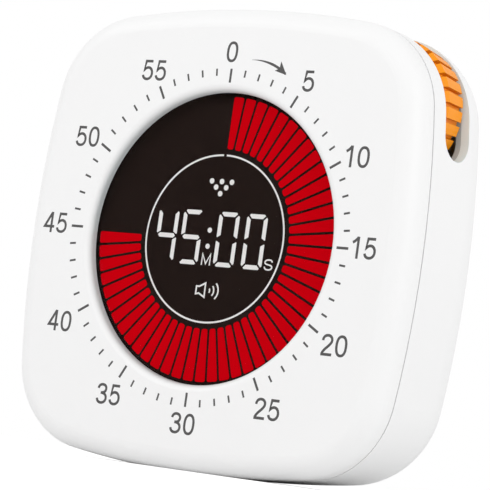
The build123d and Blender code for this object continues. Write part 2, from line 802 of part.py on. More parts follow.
def wheel_profile(sunk):
    """Half section of the wheel's rim; sunk lowers its tread, down to the floor of the grooves."""
    with BuildSketch(turning_plane(wheel_x, wheel_z), mode=Mode.PRIVATE) as profile:
        with BuildLine():
            Polyline(
                (cup_radius, wheel_front_depth),
                (wheel_front_radius - sunk, wheel_front_depth),
                (wheel_crest_radius - sunk, wheel_crest_depth),
                (wheel_rear_radius - sunk, wheel_rear_depth),
                (cup_radius, wheel_rear_depth),
                close=True,
            )
        make_face()
    return profile.sketch


tread_profile = wheel_profile(0)
groove_floor_profile = wheel_profile(groove_depth)
with BuildPart() as thumbwheel:
    # Tread: a band that rises to a crest near the front and tapers to the rear, cut into teeth
    revolve(tread_profile, axis=turning_axis(wheel_x, wheel_z))
    with BuildSketch(behind_face(wheel_front_depth, wheel_x, wheel_z)):
        with PolarLocations(wheel_rear_radius, groove_count, start_angle=groove_start_angle):
            Rectangle(wheel_crest_radius - cup_radius, groove_width)
    extrude(amount=-wheel_width, mode=Mode.SUBTRACT)
    # Rim under the grooves, web and hub
    revolve(groove_floor_profile, axis=turning_axis(wheel_x, wheel_z))
    with BuildSketch(behind_face(web_front_depth, wheel_x, wheel_z)):
        Circle(cup_radius + slip_clearance)
    extrude(amount=-wheel_web)
    with BuildSketch(behind_face(web_front_depth, wheel_x, wheel_z)):
        Circle(wheel_hub_radius)
    extrude(amount=-(wheel_rear_depth - web_front_depth))
    with BuildSketch(behind_face(web_front_depth, wheel_x, wheel_z)):
        Circle(shaft_radius)
        with Locations((0, shaft_radius - shaft_flat)):
            Rectangle(
                2 * shaft_radius, shaft_radius, align=(Align.CENTER, Align.MIN), mode=Mode.SUBTRACT
            )
    extrude(amount=-(wheel_rear_depth - web_front_depth), mode=Mode.SUBTRACT)
thumbwheel.part.label = "thumbwheel"
export_step(thumbwheel.part, "parts/thumbwheel.step")

# ---------------------------------------------------------------- batteries, contacts and door
with BuildPart() as battery_cells:
    for row, height in enumerate(row_heights):
        facing = 1 if row % 2 else -1
        shift = -facing * cell_nub_length / 2
        start = Plane(
            origin=(shift - facing * cell_length / 2, cell_depth - case_depth / 2, dial_height + height),
            x_dir=(0, 1, 0),
            z_dir=(facing, 0, 0),
        )
        with BuildSketch(start):
            Circle(cell_radius)
        extrude(amount=cell_length)
        with BuildSketch(start.offset(cell_length)):
            Circle(cell_nub_radius)
        extrude(amount=cell_nub_length)
battery_cells.part.label = "battery_cells"
export_step(battery_cells.part, "parts/battery_cells.step")


def bay_end_plane(side, height):
    """Plane on an end wall of the battery bay, facing into the bay."""
    return Plane(
        origin=(side * bay_half_length, cell_depth - case_depth / 2, dial_height + height),
        x_dir=(0, 1, 0),
        z_dir=(-side, 0, 0),
    )


contact_room = bay_half_length - (cell_length + cell_nub_length) / 2 - slip_clearance

# Flat plates with a square dimple that touches the cells' nubs
with BuildPart() as plate_contacts:
    for row, height in enumerate(row_heights):
        wall_plane = bay_end_plane(1 if row % 2 else -1, height)
        with BuildSketch(wall_plane):
            Rectangle(contact_height, contact_width)
        extrude(amount=contact_thickness)
        with BuildSketch(wall_plane.offset(contact_thickness)):
            Rectangle(cell_nub_radius, cell_nub_radius)
        extrude(amount=contact_room - contact_thickness)
plate_contacts.part.label = "plate_contacts"
export_step(plate_contacts.part, "parts/plate_contacts.step")

# Leaf springs, bent back on themselves, that press on the cells' flat ends
with BuildPart() as spring_contacts:
    for row, height in enumerate(row_heights):
        side = -1 if row % 2 else 1
        wall_x = side * bay_half_length
        crest_x = wall_x - side * contact_room
        strip = -side * contact_thickness
        level = dial_height + height
        foot = level - contact_height / 2
        tip = level + contact_height / 2
        with BuildSketch(Plane.XZ.offset(case_depth / 2 - cell_depth - contact_width / 2)):
            with BuildLine():
                Polyline(
                    (wall_x, foot),
                    (wall_x, tip),
                    (wall_x + strip, tip),
                    (wall_x + strip, foot + contact_thickness),
                    (crest_x - strip, level),
                    (wall_x + 2 * strip, tip - contact_thickness),
                    (wall_x + 3 * strip, tip),
                    (crest_x, level),
                    (wall_x + strip, foot),
                    close=True,
                )
            make_face()
        extrude(amount=contact_width)
spring_contacts.part.label = "spring_contacts"
export_step(spring_contacts.part, "parts/spring_contacts.step")

with BuildPart() as battery_door:
    with BuildSketch(behind_face(door_seat_depth, 0, bay_centre_z)):
        RectangleRounded(2 * door_half_width, 2 * door_half_height, door_corner_radius)
    extrude(amount=-door_thickness)
    # Hooks along the lower edge
    with BuildSketch(behind_face(door_seat_depth, 0, door_bottom_z)):
        with Locations((-hook_x, hook_gap), (hook_x, hook_gap)):
            Rectangle(hook_width, hook_root, align=(Align.CENTER, Align.MIN))
    extrude(amount=hook_gap + hook_thickness)
    with BuildSketch(behind_face(door_seat_depth - hook_gap, 0, door_bottom_z)):
        with Locations((-hook_x, -hook_reach), (hook_x, -hook_reach)):
            Rectangle(hook_width, hook_reach + hook_root, align=(Align.CENTER, Align.MIN))
    extrude(amount=hook_thickness)
    # Springy latch tongue between two slits, with a ribbed thumb grip
    with BuildSketch(behind_face(door_seat_depth, 0, door_top_z)):
        with Locations((-latch_width / 2, 0), (latch_width / 2, 0)):
            Rectangle(latch_slit, latch_length, align=(Align.CENTER, Align.MAX))
    extrude(amount=-door_thickness, mode=Mode.SUBTRACT)
    with BuildSketch(behind_face(case_depth - grip_rib_height, 0, door_top_z - latch_length / 2)):
        Rectangle(latch_width - 2 * latch_slit, latch_length - 2 * latch_slit)
        with GridLocations(0, grip_rib_pitch, 1, grip_rib_count):
            Rectangle(latch_width - 4 * latch_slit, grip_rib_pitch / 2, mode=Mode.SUBTRACT)
    extrude(amount=-grip_rib_height, mode=Mode.SUBTRACT)
battery_door.part.label = "battery_door"
export_step(battery_door.part, "parts/battery_door.step")

# Thin foam strip inside the door that steadies the cells
with BuildPart() as door_pad:
    with BuildSketch(behind_face(door_seat_depth, 0, bay_centre_z)):
        Rectangle(pad_width, pad_height)
    extrude(amount=pad_thickness)
door_pad.part.label = "door_pad"
export_step(door_pad.part, "parts/door_pad.step")

# ---------------------------------------------------------------- rear controls
with BuildPart() as switch_board:
    with BuildSketch(behind_face(switch_board_depth, control_x, switch_board_z)):
        Rectangle(2 * switch_board_half_width, 2 * switch_board_half_height)
        with Locations((-switch_post_x, 0), (switch_post_x, 0)):
            Circle(board_screw_radius + shank_clearance, mode=Mode.SUBTRACT)
    extrude(amount=-board_thickness)
switch_board.part.label = "switch_board"
export_step(switch_board.part, "parts/switch_board.step")

switch_board_screws = pan_screws(
    [behind_face(switch_board_depth, x, z) for x, z in switch_post_points],
    board_screw_radius,
    board_screw_reach - slip_clearance,
    board_screw_head_radius,
    board_screw_head_height,
)
switch_board_screws.label = "switch_board_screws"
export_step(switch_board_screws, "parts/switch_board_screws.step")

lever_slot = slider_travel + lever_width + 2 * control_gap
with BuildPart() as slide_switch_body:
    with BuildSketch(behind_face(switch_board_rear_depth, slider_middle_x, slider_z)):
        Rectangle(slide_body_length, slide_body_height)
    extrude(amount=-slide_body_thickness)
    with BuildSketch(behind_face(switch_board_rear_depth + slip_clearance * 3, slider_middle_x, slider_z)):
        Rectangle(lever_slot, lever_width + 2 * control_gap)
    extrude(amount=-slide_body_thickness, mode=Mode.SUBTRACT)
slide_switch_body.part.label = "slide_switch_body"
export_step(slide_switch_body.part, "parts/slide_switch_body.step")

# Knob in the scoop, with a wider base behind the wall and a pocket that takes the lever
lever_end_depth = slider_front_depth + slider_base_thickness / 2
with BuildPart() as volume_slider:
    with BuildSketch(behind_face(slider_front_depth, control_x, slider_z)):
        Rectangle(slider_width + 2 * slider_base_overlap, slider_height + 2 * slider_base_overlap)
    extrude(amount=-slider_base_thickness)
    with BuildSketch(behind_face(slider_front_depth, control_x, slider_z)):
        RectangleRounded(slider_width, slider_height, slider_height / 5)
    extrude(amount=-(case_depth - control_flush_gap - slider_front_depth))
    with BuildSketch(behind_face(case_depth - control_flush_gap - grip_rib_height, control_x, slider_z)):
        with GridLocations(grip_rib_pitch, 0, grip_rib_count, 1):
            Rectangle(grip_rib_pitch / 2, slider_height)
    extrude(amount=-grip_rib_height, mode=Mode.SUBTRACT)
    with BuildSketch(behind_face(slider_front_depth, control_x, slider_z)):
        Rectangle(lever_width, lever_width)
    extrude(amount=-(lever_end_depth - slider_front_depth), mode=Mode.SUBTRACT)
volume_slider.part.label = "volume_slider"
export_step(volume_slider.part, "parts/volume_slider.step")

lever_start_depth = switch_board_rear_depth + slip_clearance * 4
with BuildPart() as switch_lever:
    with BuildSketch(behind_face(lever_start_depth, control_x, slider_z)):
        Rectangle(lever_width, lever_width)
    extrude(amount=-(lever_end_depth - lever_start_depth))
switch_lever.part.label = "switch_lever"
export_step(switch_lever.part, "parts/switch_lever.step")

plunger_start_depth = switch_board_rear_depth + button_stroke + slip_clearance * 2
plunger_end_depth = tact_front_depth + button_stroke + slip_clearance * 4
with BuildPart() as tact_switch_body:
    with BuildSketch(behind_face(switch_board_rear_depth, control_x, button_z)):
        Rectangle(tact_body_size, tact_body_size)
    extrude(amount=-tact_body_thickness)
    with BuildSketch(behind_face(switch_board_rear_depth + slip_clearance, control_x, button_z)):
        Circle(plunger_radius + running_clearance)
    extrude(amount=-tact_body_thickness, mode=Mode.SUBTRACT)
tact_switch_body.part.label = "tact_switch_body"
export_step(tact_switch_body.part, "parts/tact_switch_body.step")

with BuildPart() as tact_plunger:
    with BuildSketch(behind_face(plunger_start_depth, control_x, button_z)):
        Circle(plunger_radius)
    extrude(amount=-(plunger_end_depth - plunger_start_depth))
tact_plunger.part.label = "tact_plunger"
export_step(tact_plunger.part, "parts/tact_plunger.step")

flange_depth = control_base_depth - button_flange_thickness
with BuildPart() as rear_button:
    with BuildSketch(behind_face(flange_depth, control_x, button_z)):
        Circle(button_flange_radius)
    extrude(amount=-button_flange_thickness)
    with BuildSketch(behind_face(flange_depth, control_x, button_z)):
        Circle(button_radius)
    extrude(amount=-(case_depth - control_flush_gap - flange_depth))
    chamfer(rear_button.faces().sort_by(Axis.Y)[-1].edges(), length=button_bevel)
    with BuildSketch(behind_face(plunger_end_depth, control_x, button_z)):
        Circle(plunger_radius)
    extrude(amount=-(flange_depth - plunger_end_depth))
rear_button.part.label = "rear_button"
export_step(rear_button.part, "parts/rear_button.step")

# ---------------------------------------------------------------- speaker
with BuildPart() as piezo_plate:
    with BuildSketch(behind_face(plate_rear_depth, speaker_x, speaker_z)):
        Circle(piezo_radius)
    extrude(amount=piezo_plate_thickness)
piezo_plate.part.label = "piezo_plate"
export_step(piezo_plate.part, "parts/piezo_plate.step")

plate_front_depth = plate_rear_depth - piezo_plate_thickness
with BuildPart() as piezo_ceramic:
    with BuildSketch(behind_face(plate_front_depth, speaker_x, speaker_z)):
        Circle(ceramic_radius)
    extrude(amount=piezo_plate_thickness)
piezo_ceramic.part.label = "piezo_ceramic"
export_step(piezo_ceramic.part, "parts/piezo_ceramic.step")

with BuildPart() as speaker_ring:
    with BuildSketch(behind_face(plate_front_depth, speaker_x, speaker_z)):
        Circle(piezo_radius)
        Circle(ceramic_radius + speaker_rib_width, mode=Mode.SUBTRACT)
    extrude(amount=speaker_ring_thickness)
speaker_ring.part.label = "speaker_ring"
export_step(speaker_ring.part, "parts/speaker_ring.step")
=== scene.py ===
"""Dresses the visual countdown timer: finishes, dial print, display art, light and camera."""

import json
import logging
import math
from dataclasses import dataclass, field
from enum import Enum
from functools import cache
from typing import Sequence, Union

import bmesh
import bpy
from mathutils import Matrix, Vector


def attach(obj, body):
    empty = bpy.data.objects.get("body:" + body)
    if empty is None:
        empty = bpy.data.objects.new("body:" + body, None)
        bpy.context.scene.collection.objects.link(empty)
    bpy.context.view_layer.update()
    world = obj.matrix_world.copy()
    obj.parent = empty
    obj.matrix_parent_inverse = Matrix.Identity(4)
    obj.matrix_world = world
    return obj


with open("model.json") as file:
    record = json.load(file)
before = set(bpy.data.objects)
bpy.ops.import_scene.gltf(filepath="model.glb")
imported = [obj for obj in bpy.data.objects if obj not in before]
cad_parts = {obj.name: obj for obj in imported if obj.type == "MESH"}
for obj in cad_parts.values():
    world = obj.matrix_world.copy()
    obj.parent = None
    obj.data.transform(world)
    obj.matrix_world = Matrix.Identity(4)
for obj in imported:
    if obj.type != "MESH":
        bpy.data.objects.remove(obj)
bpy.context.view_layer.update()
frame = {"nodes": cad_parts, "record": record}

Triple = tuple[float, float, float]
Colour = Triple
Point = tuple[float, float]
Value = Union["Socket", float, Sequence[float]]
Inputs = dict[int | str, Value]

LOG = logging.getLogger("timer")
MM = 0.001
FACE_Y = -15.75
DIAL_Z = 44.6
TIMER_MIDDLE = Vector((0.0, 0.0, 0.045))
WHITE = EVEN = (1.0, 1.0, 1.0)
BLACK = ORIGIN = (0.0, 0.0, 0.0)


# ---------------------------------------------------------------- shader maths
class Socket:
    """Output of a shader node that joins in arithmetic as a number would."""

    def __init__(self, tree: "NodeTree", link: bpy.types.NodeSocket) -> None:
        """Wraps one output of a node in this tree."""
        self.tree = tree
        self.link = link

    def _math(self, operation: str, first: Value, second: Value) -> "Socket":
        """Result of one Math node."""
        return self.tree.node("ShaderNodeMath", {"operation": operation}, {0: first, 1: second})

    def __add__(self, other: Value) -> "Socket":
        """Sum."""
        return self._math("ADD", self, other)

    __radd__ = __add__

    def __sub__(self, other: Value) -> "Socket":
        """Difference."""
        return self._math("SUBTRACT", self, other)

    def __rsub__(self, other: Value) -> "Socket":
        """Difference with the socket taken away."""
        return self._math("SUBTRACT", other, self)

    def __mul__(self, other: Value) -> "Socket":
        """Product."""
        return self._math("MULTIPLY", self, other)

    __rmul__ = __mul__

    def __gt__(self, other: Value) -> "Socket":
        """1 where the socket is greater, else 0."""
        return self._math("GREATER_THAN", self, other)

    def __lt__(self, other: Value) -> "Socket":
        """1 where the socket is less, else 0."""
        return self._math("LESS_THAN", self, other)

    def __abs__(self) -> "Socket":
        """Size without its sign."""
        return self._math("ABSOLUTE", self, 0.0)

    def either(self, other: Value) -> "Socket":
        """The greater of two values."""
        return self._math("MAXIMUM", self, other)

    def lesser(self, other: Value) -> "Socket":
        """The smaller of two values."""
        return self._math("MINIMUM", self, other)

    def remainder(self, other: Value) -> "Socket":
        """Remainder that stays positive, for patterns that repeat."""
        return self._math("FLOORED_MODULO", self, other)

    def angle(self, other: Value) -> "Socket":
        """Angle in radians of a way that goes up by the socket and across by the other value."""
        return self._math("ARCTAN2", self, other)

    def sine(self) -> "Socket":
        """Sine of the socket in radians."""
        return self._math("SINE", self, 0.0)

    def ramp(self, low: float, high: float) -> "Socket":
        """Smooth step of the socket, 0 up to the low value and 1 from the high one on."""
        settings = {"interpolation_type": "SMOOTHSTEP"}
        return self.tree.node("ShaderNodeMapRange", settings, {0: self, 1: low, 2: high})

    def axis(self, letter: str) -> "Socket":
        """One coordinate of a vector socket, X, Y or Z."""
        return self.tree.node("ShaderNodeSeparateXYZ", {}, {0: self}, output=letter)


class NodeTree:
    """Node tree that is filled from an empty start."""

    def __init__(self, tree: bpy.types.NodeTree) -> None:
        """Takes the node tree of a material or of the world, and empties it."""
        self.tree = tree
        self.tree.nodes.clear()

    def node(
        self,
        kind: str,
        settings: dict[str, object] | None = None,
        values: Inputs | None = None,
        output: int | str = 0,
    ) -> Socket:
        """Adds a node, sets it up and joins it.

        Args:
            kind: Blender's type name of the node.
            settings: Properties of the node, set before its values.
            values: Numbers, colours or sockets by input.
            output: Which output is wanted.

        Returns:
            That output.
        """
        made = self.tree.nodes.new(kind)
        for name, setting in (settings or {}).items():
            setattr(made, name, setting)
        for name, value in (values or {}).items():
            if isinstance(value, Socket):
                self.tree.links.new(value.link, made.inputs[name])
            else:
                made.inputs[name].default_value = value
        outputs = made.outputs
        return Socket(self, outputs[output] if len(outputs) else None)

    def blend(self, factor: Value, first: Value, second: Value) -> Socket:
        """Mix of two colours, the first at a factor of 0 and the second at 1."""
        values = {0: factor, 6: full(first), 7: full(second)}
        return self.node("ShaderNodeMix", {"data_type": "RGBA"}, values, output=2)

    def varied(self, share: Value, colour: Colour, tone: float) -> Socket:
        """Colour that goes from its darker or lighter tone to itself as the share goes to 1."""
        return self.blend(share, toned(colour, tone), colour)

    def place(self) -> Socket:
        """Place on the piece in metres, which moves with the piece."""
        return self.node("ShaderNodeTexCoord", output="Object")

    def _vector(
        self, operation: str, first: Value, second: Value = ORIGIN, output: int | str = 0
    ) -> Socket:
        """Adds one Vector Math node."""
        settings = {"operation": operation}
        return self.node("ShaderNodeVectorMath", settings, {0: first, 1: second}, output)

    def stretched(self, place: Socket, scale: Triple) -> Socket:
        """Place scaled by a different number on each axis."""
        return self._vector("MULTIPLY", place, scale)

    def reach(self, place: Socket, axis_place: Triple) -> Socket:
        """Distance in metres from the front-to-back axis through a place."""
        flat = self.stretched(self._vector("SUBTRACT", place, axis_place), (1.0, 0.0, 1.0))
        return self._vector("LENGTH", flat, output="Value")

    def noise(self, place: Socket, size: float, detail: float = 2.0) -> Socket:
        """Soft random pattern from 0 to 1, with features of this size in metres."""
        values = {"Vector": place, "Scale": 1 / size, "Detail": detail}
        return self.node("ShaderNodeTexNoise", {}, values)

    def cells(self, place: Socket, size: float, randomness: float = 1.0) -> Socket:
        """Distance to the middle of the nearest of many cells of this size."""
        values = {"Vector": place, "Scale": 1 / size, "Randomness": randomness}
        return self.node("ShaderNodeTexVoronoi", {}, values)

    def ray(self, kind: str) -> Socket:
        """1 for rays of one kind, else 0."""
        return self.node("ShaderNodeLightPath", output=f"Is {kind} Ray")

    def bump(self, height: Value, rise: float) -> Socket:
        """Normal of a surface that stands up by height times rise metres."""
        values = {"Height": height, "Distance": rise, "Strength": 1.0}
        return self.node("ShaderNodeBump", {}, values)


def full(colour: Value) -> Value:
    """Colour with an alpha of 1, or the socket as it is."""
    return colour if isinstance(colour, Socket) else (*colour, 1.0)


def toned(colour: Colour, share: float) -> Colour:
    """Colour made darker or lighter by a share."""
    return tuple(min(1.0, channel * share) for channel in colour)


# ---------------------------------------------------------------- finishes
@dataclass(frozen=True)
class Finish:
    """Base of the finishes: a named material of one kind of surface."""

    name: str

    def inputs(self, tree: NodeTree, place: Socket) -> Inputs:
        """Inputs of the surface's shader at a place on the piece."""
        raise NotImplementedError

    def dress(self, tree: NodeTree) -> Socket:
        """The surface's shader."""
        return tree.node("ShaderNodeBsdfPrincipled", {}, self.inputs(tree, tree.place()))

    @cache
    def material(self) -> bpy.types.Material:
        """Makes the finish's material at its first use.

        Returns:
            The material.
        """
        made = bpy.data.materials.new(self.name)
        made.use_nodes = True
        tree = NodeTree(made.node_tree)
        tree.node("ShaderNodeOutputMaterial", {}, {0: self.dress(tree)})
        return made


@dataclass(frozen=True)
class Moulded(Finish):
    """Moulded plastic or rubber with a fine grain and slow changes of tone and gloss."""

    colour: Colour = WHITE
    roughness: float = 0.45
    grain: float = 0.3 * MM
    depth: float = 0.004 * MM
    flow: float = 0.02
    flow_size: float = 18 * MM
    gloss_change: float = 0.08
    specular: float = 0.5
    coat: float = 0.0
    coat_roughness: float = 0.08

    def tone(self, tree: NodeTree, place: Socket, plain: Socket) -> Socket:
        """Colour over the piece, from the plain one; a shaped piece changes it in places."""
        return plain

    def inputs(self, tree: NodeTree, place: Socket) -> Inputs:
        """Gives the plastic's shader its inputs.

        Args:
            tree: Tree of the material.
            place: Place on the piece.

        Returns:
            Values by input.
        """
        slow = tree.noise(place, self.flow_size, 3.0)
        grain = tree.noise(place, self.grain)
        return {
            "Base Color": self.tone(tree, place, tree.varied(slow, self.colour, 1 - self.flow)),
            "Roughness": self.roughness + self.gloss_change * (slow + grain - 1.0),
            "Specular IOR Level": self.specular,
            "Coat Weight": self.coat,
            "Coat Roughness": self.coat_roughness,
            "Normal": tree.bump(grain, self.depth),
        }


@dataclass(frozen=True)
class Patterned(Finish):
    """Surface whose tone, gloss and height follow one soft pattern, such as glass or ink."""

    colour: Colour = WHITE
    size: float = 20 * MM
    detail: float = 1.0
    edge: Point | None = None
    tone: float = 0.95
    roughness: float = 0.12
    gloss_change: float = 0.04
    specular: float = 0.5
    depth: float = 0.0

    def pattern(self, tree: NodeTree, place: Socket) -> Socket:
        """Pattern from 0 to 1."""
        return tree.noise(place, self.size, self.detail)

    def inputs(self, tree: NodeTree, place: Socket) -> Inputs:
        """Gives the surface's shader its inputs.

        Args:
            tree: Tree of the material.
            place: Place on the piece.

        Returns:
            Values by input.
        """
        pattern = self.pattern(tree, place)
        share = pattern.ramp(*self.edge) if self.edge else pattern
        values: Inputs = {
            "Base Color": tree.varied(share, self.colour, self.tone),
            "Roughness": self.roughness + self.gloss_change * pattern,
            "Specular IOR Level": self.specular,
        }
        if self.depth:
            values["Normal"] = tree.bump(pattern, self.depth)
        return values


@dataclass(frozen=True)
class Foam(Patterned):
    """Fine open foam with small pores."""

    pores: Point = (0.15, 0.5)

    def pattern(self, tree: NodeTree, place: Socket) -> Socket:
        """0 in the pores and 1 on the skin between them."""
        return tree.cells(place, self.size).ramp(*self.pores)


@dataclass(frozen=True)
class Ribbed(Moulded):
    """Moulded plastic of a wheel, with darker painted shade on the walls of the grooves across its
    tread.
    """

    painted_wall_shade: Colour = WHITE
    axis_place: Triple = ORIGIN
    groove_count: int = 28
    groove_start: float = math.radians(3.8)
    groove_half: float = 0.425 * MM
    wall_half: float = 0.04 * MM

    def tone(self, tree: NodeTree, place: Socket, plain: Socket) -> Socket:
        """Paints shade on the walls of the grooves.

        Args:
            tree: Tree of the material.
            place: Place on the wheel.
            plain: Colour elsewhere.

        Returns:
            The colour.
        """
        pitch = math.tau / self.groove_count
        across, up = place.axis("X") - self.axis_place[0], place.axis("Z") - self.axis_place[2]
        turn = (up.angle(across) - self.groove_start + pitch / 2).remainder(pitch) - pitch / 2
        off_centre = abs(turn) * tree.reach(place, self.axis_place)
        # painted shade: a thin band on each wall of the grooves gets the darker colour
        on_shaded_wall = abs(off_centre - self.groove_half) < self.wall_half
        return tree.blend(on_shaded_wall, plain, self.painted_wall_shade)


@dataclass(frozen=True)
class SlottedShell(Moulded):
    """Moulded plastic of the rear shell, with painted shade in the wheel's slot, darkest on its
    collar.
    """

    painted_wall_shade: Colour = WHITE
    painted_collar_shade: Colour = WHITE
    wall: float = 2.0 * MM
    slot_end_centre: float = 23.55 * MM
    slot_depth: float = 14.75 * MM
    slot_half: float = 4.45 * MM
    slot_edge: float = 0.04 * MM
    corner_centre: float = 25.22 * MM
    corner_radius: float = 18.1 * MM
    side_centre: float = -164.0 * MM
    side_radius: float = 209.0 * MM
    corner_start: float = math.radians(7.59)

    def _inset(self, tree: NodeTree, place: Socket, across: Socket, up: Socket) -> Socket:
        """Distance inward from the shell's outline near the slot.

        Args:
            tree: Tree of the material.
            place: Place on the shell.
            across: Place to the right of the dial's middle.
            up: Place above the dial's middle.

        Returns:
            The distance in metres.
        """
        middle = DIAL_Z * MM
        cosine, sine = math.cos(self.corner_start), math.sin(self.corner_start)
        off_across, off_up = across - self.corner_centre, up - self.corner_centre
        above = (off_up * cosine - off_across * sine) > 0.0
        beyond = (off_across * cosine - off_up * sine) > 0.0
        side = self.side_radius - tree.reach(place, (self.side_centre, 0.0, middle))
        top = self.side_radius - tree.reach(place, (0.0, 0.0, middle + self.side_centre))
        corner_place = (self.corner_centre, 0.0, middle + self.corner_centre)
        corner = self.corner_radius - tree.reach(place, corner_place)
        return side * (1 - above) + top * (1 - beyond) + corner * above * beyond

    def tone(self, tree: NodeTree, place: Socket, plain: Socket) -> Socket:
        """Paints shade in the slot, cooler to offset the wheel's orange light, and darker on its
        collar.

        Args:
            tree: Tree of the material.
            place: Place on the shell.
            plain: Colour elsewhere.

        Returns:
            The colour.
        """
        across, up = place.axis("X"), place.axis("Z") - DIAL_Z * MM
        run = (self.slot_end_centre - across.lesser(up)).either(0.0)
        off_depth = place.axis("Y") - FACE_Y * MM - self.slot_depth
        in_slot = (run * run + off_depth * off_depth) < (self.slot_half + self.slot_edge) ** 2
        # painted shade: cool grey on the slot's walls, darker grey on the collar deeper in
        on_shaded_collar = in_slot * (self._inset(tree, place, across, up) > self.wall)
        walls = tree.blend(in_slot, plain, self.painted_wall_shade)
        return tree.blend(on_shaded_collar, walls, self.painted_collar_shade)


@dataclass(frozen=True)
class WindowedShell(Moulded):
    """Moulded plastic of the front shell, with soft painted shade where its rim rolls down to the
    display.
    """

    painted_rim_shade: Colour = WHITE
    rim_radius: float = 29.76 * MM
    rim_depth: float = 1.3 * MM
    shade_top_relief: float = 0.5

    def tone(self, tree: NodeTree, place: Socket, plain: Socket) -> Socket:
        """Paints shade on the rim, fainter towards the top.

        Args:
            tree: Tree of the material.
            place: Place on the shell.
            plain: Colour elsewhere.

        Returns:
            The colour.
        """
        depth = place.axis("Y") - FACE_Y * MM
        height = (place.axis("Z") - DIAL_Z * MM).either(0.0) * (1 / self.rim_radius)
        inside = tree.reach(place, (0.0, 0.0, DIAL_Z * MM)) < self.rim_radius
        # painted shade: darker down the rim into the window, fainter towards the top
        shade = depth.ramp(0.0, self.rim_depth) * inside * (1 - self.shade_top_relief * height * height)
        return tree.blend(shade, plain, self.painted_rim_shade)


@dataclass(frozen=True)
class Metal(Finish):
    """Bare or plated metal with drawn marks along one axis and a little tarnish."""

    colour: Colour = WHITE
    roughness: float = 0.3
    drawn: Triple = EVEN
    mark_size: float = 0.4 * MM
    depth: float = 0.003 * MM
    tarnish: float = 0.12
    cloud_size: float = 4 * MM
    mark_gloss: float = 0.14
    cloud_gloss: float = 0.1

    def marks(self, tree: NodeTree, place: Socket) -> Socket:
        """Marks left by drawing, from 0 to 1."""
        return tree.noise(tree.stretched(place, self.drawn), self.mark_size, 3.0)

    def inputs(self, tree: NodeTree, place: Socket) -> Inputs:
        """Gives the metal's shader its inputs.

        Args:
            tree: Tree of the material.
            place: Place on the piece.

        Returns:
            Values by input.
        """
        cloud = tree.noise(place, self.cloud_size, 4.0)
        marks = self.marks(tree, place)
        roughness = self.roughness + self.mark_gloss * (marks - 0.5)
        return {
            "Base Color": tree.varied(cloud, self.colour, 1 - self.tarnish),
            "Metallic": 1.0,
            "Roughness": roughness + self.cloud_gloss * (cloud - 0.5),
            "Normal": tree.bump(marks, self.depth),
        }


@dataclass(frozen=True)
class TurnedMetal(Metal):
    """Metal disc with rings left by turning or pressing about a front-to-back axis."""

    centre: Triple = ORIGIN

    def marks(self, tree: NodeTree, place: Socket) -> Socket:
        """Rings about the centre, from 0 to 1."""
        return (tree.reach(place, self.centre) * (math.tau / self.mark_size)).sine() * 0.5 + 0.5


@dataclass(frozen=True)
class Clear(Finish):
    """Clear polished plastic that lets lamp light through, with or without a dotted back."""

    tint: Colour = WHITE
    roughness: float = 0.02
    mirror: float = 1.0
    ior: float = 1.49
    ripple_size: float = 9 * MM
    ripple_tone: float = 0.995
    ripple_gloss: float = 0.01
    dotted: bool = False
    dot_pitch: float = 1.2 * MM
    dot_edge: Point = (0.2, 0.35)
    dot_depth: float = 0.05 * MM

    def inputs(self, tree: NodeTree, place: Socket) -> Inputs:
        """Gives the clear plastic's shader its inputs.

        Args:
            tree: Tree of the material.
            place: Place on the piece.

        Returns:
            Values by input.
        """
        ripple = tree.noise(place, self.ripple_size, 1.0)
        values: Inputs = {
            "Base Color": tree.varied(ripple, self.tint, self.ripple_tone),
            "Roughness": self.roughness + self.ripple_gloss * ripple,
            "Transmission Weight": 1.0,
            "IOR": self.ior,
            "Specular Tint": full(toned(WHITE, self.mirror)),
        }
        if self.dotted:
            dots = tree.cells(place, self.dot_pitch, 0.0).ramp(*self.dot_edge)
            values["Normal"] = tree.bump(dots, self.dot_depth)
        return values

    def dress(self, tree: NodeTree) -> Socket:
        """Builds the shader, which lets a lamp's rays straight through.

        Args:
            tree: Empty tree of the material.

        Returns:
            The shader.
        """
        glass = super().dress(tree)
        shade = tree.node("ShaderNodeBsdfTransparent", {}, {"Color": full(self.tint)})
        return tree.node("ShaderNodeMixShader", {}, {0: tree.ray("Shadow"), 1: glass, 2: shade})


@dataclass(frozen=True)
class Lit(Finish):
    """Display segment lit from behind, a little brighter and dimmer across the panel."""

    colour: Colour = WHITE
    glow: float = 0.55
    body: float = 0.42
    body_tone: float = 0.97
    glow_tone: float = 0.95
    panel_size: float = 14 * MM
    roughness: float = 0.5
    gloss_change: float = 0.1

    def inputs(self, tree: NodeTree, place: Socket) -> Inputs:
        """Gives the segment's shader its inputs.

        Args:
            tree: Tree of the material.
            place: Place on the piece.

        Returns:
            Values by input.
        """
        panel = tree.noise(place, self.panel_size)
        return {
            "Base Color": tree.varied(panel, toned(self.colour, self.body), self.body_tone),
            "Roughness": self.roughness + self.gloss_change * panel,
            "Specular IOR Level": 0.0,
            "Emission Color": tree.varied(panel, self.colour, self.glow_tone),
            "Emission Strength": self.glow,
        }


